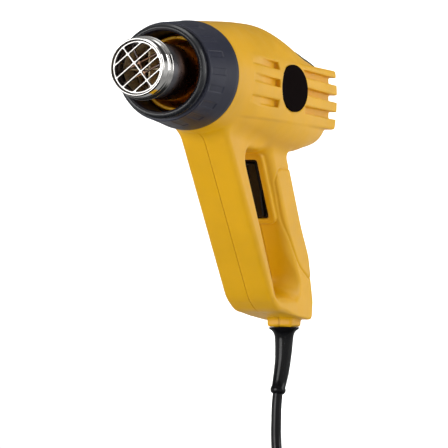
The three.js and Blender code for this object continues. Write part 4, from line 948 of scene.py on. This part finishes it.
def hollow(x, y, z, outer):
    """Distance to the space inside the housing."""
    radial = np.hypot(x, z)
    space = meet(barrel_skin(x, y, z) + WALL, WALL - y, y - BARREL_LENGTH + WALL)
    space = meet(space, np.where(y > 117, np.abs(x) - 27.6, -50))
    space = meet(smin(space, handle(x, y, z, WALL), 1.0), outer + 2.1)
    nose = meet(radial - NOSE_RADIUS, y - 3.7)
    bore = meet(radial - 29.0, span(y, -13.0, 3.7))
    return join(space, nose, bore)


def inner_parts(x, y, z, outer):
    """Screw posts, the tube's seats, and the spigot's nose ring with its webs and bayonet lugs."""
    radial = np.hypot(x, z)
    for py, pz, _ in SCREWS:
        yield meet(np.hypot(y - py, z - pz) - POST_RADIUS, outer + 0.6)
    for front, rear, bore_radius in SEATS:
        ring = meet(span(y, front, rear), bore_radius - radial)
        notch = meet(np.abs(x) - 9, z + 28.2)
        yield meet(ring, -notch, outer + 0.6)
    yield meet(radial - 23.8, NOSE_RADIUS - radial, span(y, -20, 2.7))
    for angle in WEB_ANGLES:
        out, aside = spin(x, z, -angle * DEGREE)
        web = meet(span(out, 22.8, 30), np.abs(aside) - 1.5)
        yield meet(web, span(y, -9, 2.7))
    for angle in LUG_ANGLES:
        out, aside = spin(x, z, -angle * DEGREE)
        lug = meet(np.abs(aside) - out * math.tan(9 * DEGREE), -out)
        lug = meet(lug, radial - 32.6, 30 - radial)
        yield smax(lug, span(y, -7.5, -4.5), 0.4)


def screw_hole(x, y, z, half):
    away = np.hypot(y, z)
    head = meet(away - HEAD_RADIUS, x + half)
    shank = meet(away - SHANK_RADIUS, -half - 1 - x, x - half - 1.5)
    return join(head, shank)


def lead_way(x, y, z):
    """Distance to the cord boss's bore: the sleeve's hole and pocket, and the lead's channel."""
    ream = np.hypot(x, y - BOSS_Y)
    hole = meet(ream - 5.6, np.abs(z - BOSS_BOTTOM) - 15)
    pocket = meet(ream - 8.0, np.abs(z + 147.8) - 2)
    channel = meet(np.hypot(x, y - BOSS_Y + 2) - 5, np.abs(z + 140.6) - 12)
    return join(hole, pocket, channel)


def intake_window(x, y, z, gap=0.0):
    """Distance to the intake grille's space in the barrel's upper rear, grown by a gap."""
    upper = meet(137 - gap - y, 11 - gap - z)
    rear = meet(162 - gap - y, -22 - gap - z)
    return meet(join(upper, rear), np.abs(x) - (23 + gap))


def housing(points):
    """Distance to the hollow housing, both halves as one."""
    x, y, z = points.T
    outer = outer_form(x, y, z)
    body = smax(outer, -hollow(x, y, z, outer), 0.3)
    for extra in inner_parts(x, y, z, outer):
        body = smin(body, extra, 0.5)
    for py, pz, half in SCREWS:
        body = smax(body, -screw_hole(x, y - py, z - pz, half), 0.25)
    opening, room = switch_space(x, y, z)
    body = meet(smax(body, -opening, 0.5), -room)
    body = meet(body, -lead_way(x, y, z))
    return smax(body, -intake_window(x, y, z, 0.3), 0.4)


def make_housing():
    for name, side in (("housing_right", 1), ("housing_left", -1)):
        left, right = (-2.0, 36.9) if side > 0 else (-36.9, 2.0)
        piece = form(f"{name}_shell", housing, (left, -21.5, -162.0), (right, 182.5, 41.5), 0.9, YELLOW,
                     seam=(SEAM * side, side))
        stand_in(piece, name)


make_housing()


# Collar, tube, tip and grille

NOTCHES, NOTCH_HALF, NOTCH_DEPTH = 18, 2.1, 0.35
NOTCH_FRONT, NOTCH_REAR = -36.2, -18.0
TIER_RADIUS, TIER_FRONT, LIP_RADIUS, LIP_REAR = 31.35, -38.7, 25.7, -39.2


def notched(radius, along, turn):
    """The collar's radius, with shallow notches round its tier."""
    pitch = 2 * math.pi / NOTCHES
    aside = np.abs((turn + pitch / 2) % pitch - pitch / 2) * radius
    side_in = smoothstep(NOTCH_HALF - aside, -0.3, 0.3)
    length_in = smoothstep(join(along - NOTCH_FRONT, NOTCH_REAR - along), -0.25, 0.25)
    on_outside = (radius > TIER_RADIUS) & (along < -12)
    return radius - NOTCH_DEPTH * side_in * length_in * on_outside


def make_collar():
    outline = round_profile([
        (25.5, -44, 0.8), (25.9, -45.2, 0.5), (27.3, -45.7, 0.8), (28.6, -45.4, 0.9), (29.9, -43.4, 1.3),
        (29.8, -40.2, 0.7), (28.5, -39.6, 0.3), (28.5, -38.7, 0.3), (31.3, -38.6, 0.7), (33.5, -16.5, 30),
        (35, -4, 3), (35, -0.3, 0.3), (31.3, -0.3), (31.3, -4.2), (32.9, -4.2), (32.9, -7.8), (31.3, -7.8),
        (31.3, -12.3), (26.7, -12.3), (25.5, -16),
    ])
    rows = []
    for a, b in zip(outline, np.roll(outline, -1, 0)):
        on_tier = a[0] > TIER_RADIUS and a[1] > TIER_FRONT and b[0] > TIER_RADIUS
        count = max(int(np.linalg.norm(b - a) / 0.6), 1) if on_tier else 1
        rows += [a + (b - a) * k / count for k in range(count)]
    piece = lathe("collar_shell", rows, 720, COLLAR, "collar", notched)
    stand_in(piece, "collar", 40)
    piece.data.materials.append(LIP)
    lip_rear = place((0, LIP_REAR, 0))[1]
    for face in piece.data.polygons:
        x, y, z = face.center
        if y < lip_rear and math.hypot(x, z - SHIFT[2] * MM) > LIP_RADIUS * MM:
            face.material_index = 1


BARS = (-10.458, -3.486, 3.486, 10.458)
PLATE_RADIUS, PLATE_RIM = 16.6, 1.5


def plate(points, middle, angle, places, half_bar, half_thick):
    """A stamped ring with one bar across it and the others square to that one."""
    x, y, z = points.T
    along, across = spin(x, z, -angle * DEGREE)
    radial = np.hypot(x, z)
    shape = meet(radial - PLATE_RADIUS, PLATE_RADIUS - PLATE_RIM - radial)
    for off in (along, *(across - at for at in places)):
        shape = smin(shape, meet(np.abs(off) - half_bar, radial - PLATE_RADIUS + 0.2), 0.7)
    return thick(shape, y - middle, half_thick, 0.42)


def make_nozzle():
    tube = lathe("nozzle_tube_shell", round_profile([
        (16.9, -76, 0.3), (17.8, -76, 0.3), (17.8, 37.6, 0.5), (27, 37.6, 0.3), (27, 38.8, 0.3), (16.9, 38.8),
    ], 3), 128, TUBE_STEEL)
    stand_in(tube, "nozzle_tube", 50)
    tip = lathe("nozzle_tip_shell", round_profile([
        (16.9, -81.8, 0.2), (16.85, -83.2, 0.4), (17.7, -83.4, 0.45), (18.35, -82.3, 0.8), (18.45, -76.4, 2),
        (18.95, -75.4, 0.8), (18.95, -74.4, 0.8), (18.5, -73.6, 0.8), (18.7, -72.6, 0.8), (20.05, -71.6, 0.9),
        (20.0, -70.3, 0.9), (19.0, -68.9, 0.5), (18.1, -68.9), (18.1, -76.3), (16.9, -76.3),
    ], 6), 160, CHROME)
    stand_in(tip, "nozzle_tip", 50)
    bars = form("outlet_grille_bars", lambda p: plate(p, -81.3, 38, BARS, 0.7, 0.55),
                (-17.4, -82.6, -17.4), (17.4, -80.0, 17.4), 0.34, GRILLE_PLATING)
    stand_in(bars, "outlet_grille")
    screen = form("inner_screen_bars", lambda p: plate(p, -74.5, 25, BARS[1:3], 0.75, 0.5),
                  (-17.4, -75.8, -17.4), (17.4, -73.2, 17.4), 0.4, DARK_STEEL)
    stand_in(screen, "inner_screen")


# Badges, rear grille and screws

BADGE_STEPS = 96
BADGE_PROFILE = (
    (1.0, 0.0), (1.0, 0.75), (0.985, 1.02), (0.955, 1.15), (0.93, 1.12), (0.90, 1.10), (0.7, 1.22),
    (0.4, 1.30), (0.15, 1.33),
)


def make_badges():
    angles = [2 * math.pi * k / BADGE_STEPS for k in range(BADGE_STEPS)]
    faces = ring_faces(len(BADGE_PROFILE), BADGE_STEPS, capped=True)
    for name, side in (("badge_right", 1), ("badge_left", -1)):
        verts = [
            (side * (BADGE_FLOOR + 0.3 + rise), BADGE_Y + BADGE_LONG / 2 * reach * math.cos(a),
             BADGE_Z + BADGE_HIGH / 2 * reach * math.sin(a))
            for reach, rise in BADGE_PROFILE for a in angles
        ]
        piece = faces_outward(new_object(f"{name}_plate", verts, faces, BADGE))
        stand_in(piece, name, 60)


def intake(points):
    x, y, z = points.T
    around = barrel_skin(x, y, z)
    skin = meet(around - 0.8, smax(around, y - BARREL_LENGTH - 0.4, 7.0) - 0.8)
    under = meet(around + 1.4, y - BARREL_LENGTH + 1.4)
    body = smax(smax(skin, -under, 0.4), intake_window(x, y, z), 0.8)
    for at in (-14, -7, 0, 7, 14):
        across = np.abs(x - at) - 2
        upper = smax(smax(across, np.abs(y - 157) - 14, 1.5), 10 - z, 0.3)
        rear = smax(smax(across, np.abs(z + 2.5) - 13.5, 1.5), 170 - y, 0.3)
        body = smax(body, -join(upper, rear), 0.5)
    return body


def make_intake():
    piece = form("intake_grille_shell", intake, (-24, 136, -23.5), (24, 178.5, 37), 0.6, BLACK)
    stand_in(piece, "intake_grille")


def screw(points, half):
    """A domed head with a cross recess, and its shank."""
    x, y, z = points.T
    away = np.hypot(y, z)
    seat = -half - 0.3
    head = smax(away - 3.2, np.abs(x - seat + 1.2) - 1.2, 0.7)
    head = smax(head, -(x - seat + 2.7 - 0.035 * away ** 2), 0.3)
    shank = meet(away - 1.5, span(x, seat - 0.5, half))
    arms = [meet(np.abs(a) - 0.42, np.abs(b) - 1.9) for a, b in ((y, z), (z, y))]
    return smax(join(head, shank), -meet(join(*arms), x - seat + 0.9), 0.12)


def make_screws():
    for k, (y, z, half) in enumerate(SCREWS):
        low, high = (-half - 3.4, -3.6, -3.6), (half + 0.5, 3.6, 3.6)
        piece = form(f"screw_{k + 1}_body", lambda p: screw(p, half), low, high, 0.33, BRIGHT_STEEL,
                     move=lambda p: p + (0, y, z))
        stand_in(piece, f"housing_screw_{k + 1}")


def make_clamp_posts():
    for name, dy, reach in (("clamp_post_front", -7.2, 12.0), ("clamp_post_rear", 7.2, 14.6)):
        verts, faces = revolve([(1.2, -3.8), (2.6, -3.8), (2.6, reach), (1.2, reach)], 40)
        verts = verts[:, (1, 0, 2)] + (0, 158.4 + dy, -128)
        piece = faces_outward(new_object(name, verts, faces, YELLOW))
        sharpen(piece, 32)


# Switch

FRAME_FRONT, PIVOT_DEPTH, ROCKER_HALF, ROCKER_LONG, ROCKER_RISE = -2.8, 1.2, 6.4, 18.8, 4.6
LOW_END = FRAME_FRONT + 0.6 - ROCKER_RISE
ROCKER = Outline([
    (FRAME_FRONT + 0.6, ROCKER_LONG, 1.0), (FRAME_FRONT + 1.0, 7, 14), (FRAME_FRONT + 0.4, -2, 14),
    (LOW_END + 0.9, -11, 20), (LOW_END, -ROCKER_LONG, 1.4), (LOW_END + 4.5, -ROCKER_LONG - 0.6, 0.8),
    (PIVOT_DEPTH + 1.8, -6, 2), (PIVOT_DEPTH + 3.4, 0, 3), (PIVOT_DEPTH + 1.8, 6, 2),
    (FRAME_FRONT + 4.6, ROCKER_LONG - 0.3, 0.8),
])


def from_switch(verts):
    """Points given as (across, depth, height) in the switch's frame, in the barrel's frame."""
    across, depth, height = verts.T
    return np.stack([
        across, SWITCH[0] + depth * ACROSS_GRIP[0] - height * DOWN_GRIP[0],
        SWITCH[1] + depth * ACROSS_GRIP[1] - height * DOWN_GRIP[1],
    ], 1)


def rocker(points):
    x, depth, height = points.T
    block = thick(ROCKER(depth, height), x, ROCKER_HALF, 1.1)
    pin = meet(np.hypot(depth - PIVOT_DEPTH, height) - 1.0, np.abs(x) - 7.2)
    return join(block, pin)


def switch_frame(points):
    x, depth, height = points.T
    face = rounded_rectangle(x, height, 7.9, 21.8, 2.0)
    body = smax(face, np.abs(depth - 2.45) - 5.25, 0.7)
    wings = rounded_box(x, depth, height, (0, 4.45, 0), (11.2, 1.25, 18.8), 0.3)
    case = rounded_box(x, depth, height, (0, 8.8, 0), (7.9, 6.2, 19.8), 0.5)
    body = join(body, wings, case)
    room = smax(rounded_rectangle(x, height, 6.6, 20.4, 1.2), depth - 9.8, 0.3)
    pin = meet(np.hypot(depth - PIVOT_DEPTH, height) - 1.3, np.abs(x) - 7.5)
    return smax(body, -join(room, pin), 0.5)


def make_switch():
    cap = form("rocker_cap", rocker, (-7.6, -7.4, -20), (7.6, 5.4, 19.6), 0.35, GLOSS, "switch_rocker",
               move=from_switch)
    stand_in(cap, "switch_rocker")
    case = form("switch_case", switch_frame, (-11.8, -3.3, -22.4), (11.8, 15.6, 22.4), 0.45, GLOSS,
                move=from_switch)
    stand_in(case, "switch_body")


# Strain relief and plug

def swept(name, path, radii, count, material, power=1.0):
    """A closed tube along a path, with its half width and half height; a power under 1 squares it."""
    path = np.asarray(path, float)
    radii = np.broadcast_to(np.reshape(radii, (len(path), -1)), (len(path), 2))
    power = np.broadcast_to(power, len(path))
    ahead = np.gradient(path, axis=0)
    ahead /= np.linalg.norm(ahead, axis=1)[:, None]
    side = np.array((1.0, 0, 0)) if abs(ahead[0][2]) > 0.5 else np.cross(ahead[0], (0, 0, 1))
    verts = []
    for spot, along, (wide, high), p in zip(path, ahead, radii, power):
        side = unit(side - along * (side @ along))
        up = np.cross(side, along)
        for k in range(count):
            c, s = math.cos(2 * math.pi * k / count), math.sin(2 * math.pi * k / count)
            aside = side * wide * math.copysign(abs(c) ** p, c)
            verts.append(spot + aside + up * high * math.copysign(abs(s) ** p, s))
    return faces_outward(new_object(name, verts, ring_faces(len(path), count, capped=True), material))


def make_relief():
    foot = BOSS_BOTTOM
    straight = [
        (-146.6, 7.2), (-146.9, 7.6), (-149.1, 7.6), (-149.3, 5.2), (foot - 0.02, 5.2), (foot - 0.1, 9.9),
        (foot - 0.5, 10.25), (foot - 1.3, 10.1), (foot - 2.4, 8.5), (foot - 3.6, 7.4), (foot - 5.6, 6.6),
    ]
    bent = [
        (-0.03, -0.06, 8.5, 6.25), (-0.1, -0.2, 12, 6.05), (-0.22, -0.5, 16.5, 5.8), (-0.4, -0.9, 21, 5.5),
        (-0.75, -1.5, 26, 5.35), (-1.2, -2.3, 31, 5.2), (-1.8, -3.2, 36, 4.95), (-2.4, -4.2, 40.4, 4.7),
        (-2.45, -4.27, 40.8, 4.85), (-2.5, -4.35, 41.3, 5.15), (-2.6, -4.48, 42.4, 5.25),
        (-2.7, -4.6, 43.5, 5.1), (-2.77, -4.7, 44.4, 4.6), (-2.82, -4.75, 45, 4.0),
    ]
    path = [(0, BOSS_Y, z) for z, _ in straight] + [(x, BOSS_Y + y, foot - drop) for x, y, drop, _ in bent]
    radii = [station[-1] for station in straight + bent]
    stand_in(swept("strain_relief_sleeve", path, radii, 48, RUBBER), "strain_relief", 50)


PIN_SPACING = 19


def make_plug():
    points, ahead = lead_route()
    start = points[-1] + ahead * 0.3
    stations = np.array([
        (0, 4.2, 4.2), (0.4, 4.6, 4.6), (2.8, 4.7, 4.7), (3.1, 4.2, 4.2), (4.0, 4.2, 4.2), (4.3, 4.8, 4.8),
        (6.0, 4.85, 4.85), (6.3, 4.3, 4.3), (7.2, 4.3, 4.3), (7.5, 5.0, 5.0), (9.0, 5.2, 5.2),
        (9.8, 6.6, 6.3), (10.8, 7.9, 7.3), (13, 9.5, 8.4), (16, 11.4, 9.6), (19, 13.6, 10.8),
        (22, 15.3, 11.6), (26, 16.4, 12.0), (31, 16.8, 12.15), (36, 17, 12.2), (38.3, 16.95, 12.2),
        (39.2, 16.6, 11.8), (39.8, 15.9, 11.1), (40, 15, 10.2),
    ])
    power = 1 - 0.38 * smoothstep(stations[:, 0], 9.5, 22)
    shell = swept("plug_shell", start + ahead * stations[:, :1], stations[:, 1:], 64, RUBBER, power)
    stand_in(shell, "plug_body", 50)
    aside = np.array((-ahead[1], ahead[0], 0))
    stops = np.array([(40.3, 2.35), (56.9, 2.35), (57.9, 2.2), (58.6, 1.85), (59.1, 1.3), (59.3, 0.6)])
    for name, side in (("plug_pin_left", 0.5), ("plug_pin_right", -0.5)):
        spots = start + aside * side * PIN_SPACING + ahead * stops[:, :1]
        stand_in(swept(f"{name}_body", spots, stops[:, 1], 32, BRASS), name, 50)


make_collar()
make_nozzle()
make_badges()
make_intake()
make_screws()
make_clamp_posts()
make_switch()
make_relief()
make_plug()


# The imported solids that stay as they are, and their materials

NODE_MATERIALS = {
    DARK_STEEL: "motor_can",
    BRIGHT_STEEL: "motor_shaft clamp_screw_front clamp_screw_rear",
    MICA: "mica_sleeve heater_board_flat heater_board_upright",
    COIL_WIRE: "heater_winding",
    CERAMIC: "heater_base",
    COPPER: "armature commutator",
    BRASS: "bearing_front bearing_rear terminal_low terminal_middle terminal_high",
    BLACK: "air_funnel fan_duct impeller motor_end_cap brush_upper brush_lower motor_mount rectifier "
           "magnet_upper magnet_lower thermal_fuse cord_tie",
    RUBBER: "inner_lead",
    CLAMP: "lead_clamp",
    BOARD: "rectifier_board",
    BROWN: "live_wire",
    BLUE: "neutral_wire",
    RED: "heater_wire",
}
for material, names in NODE_MATERIALS.items():
    for name in names.split():
        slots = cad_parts[name].material_slots
        for slot in slots:
            slot.material = material
        if not slots:
            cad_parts[name].data.materials.append(material)
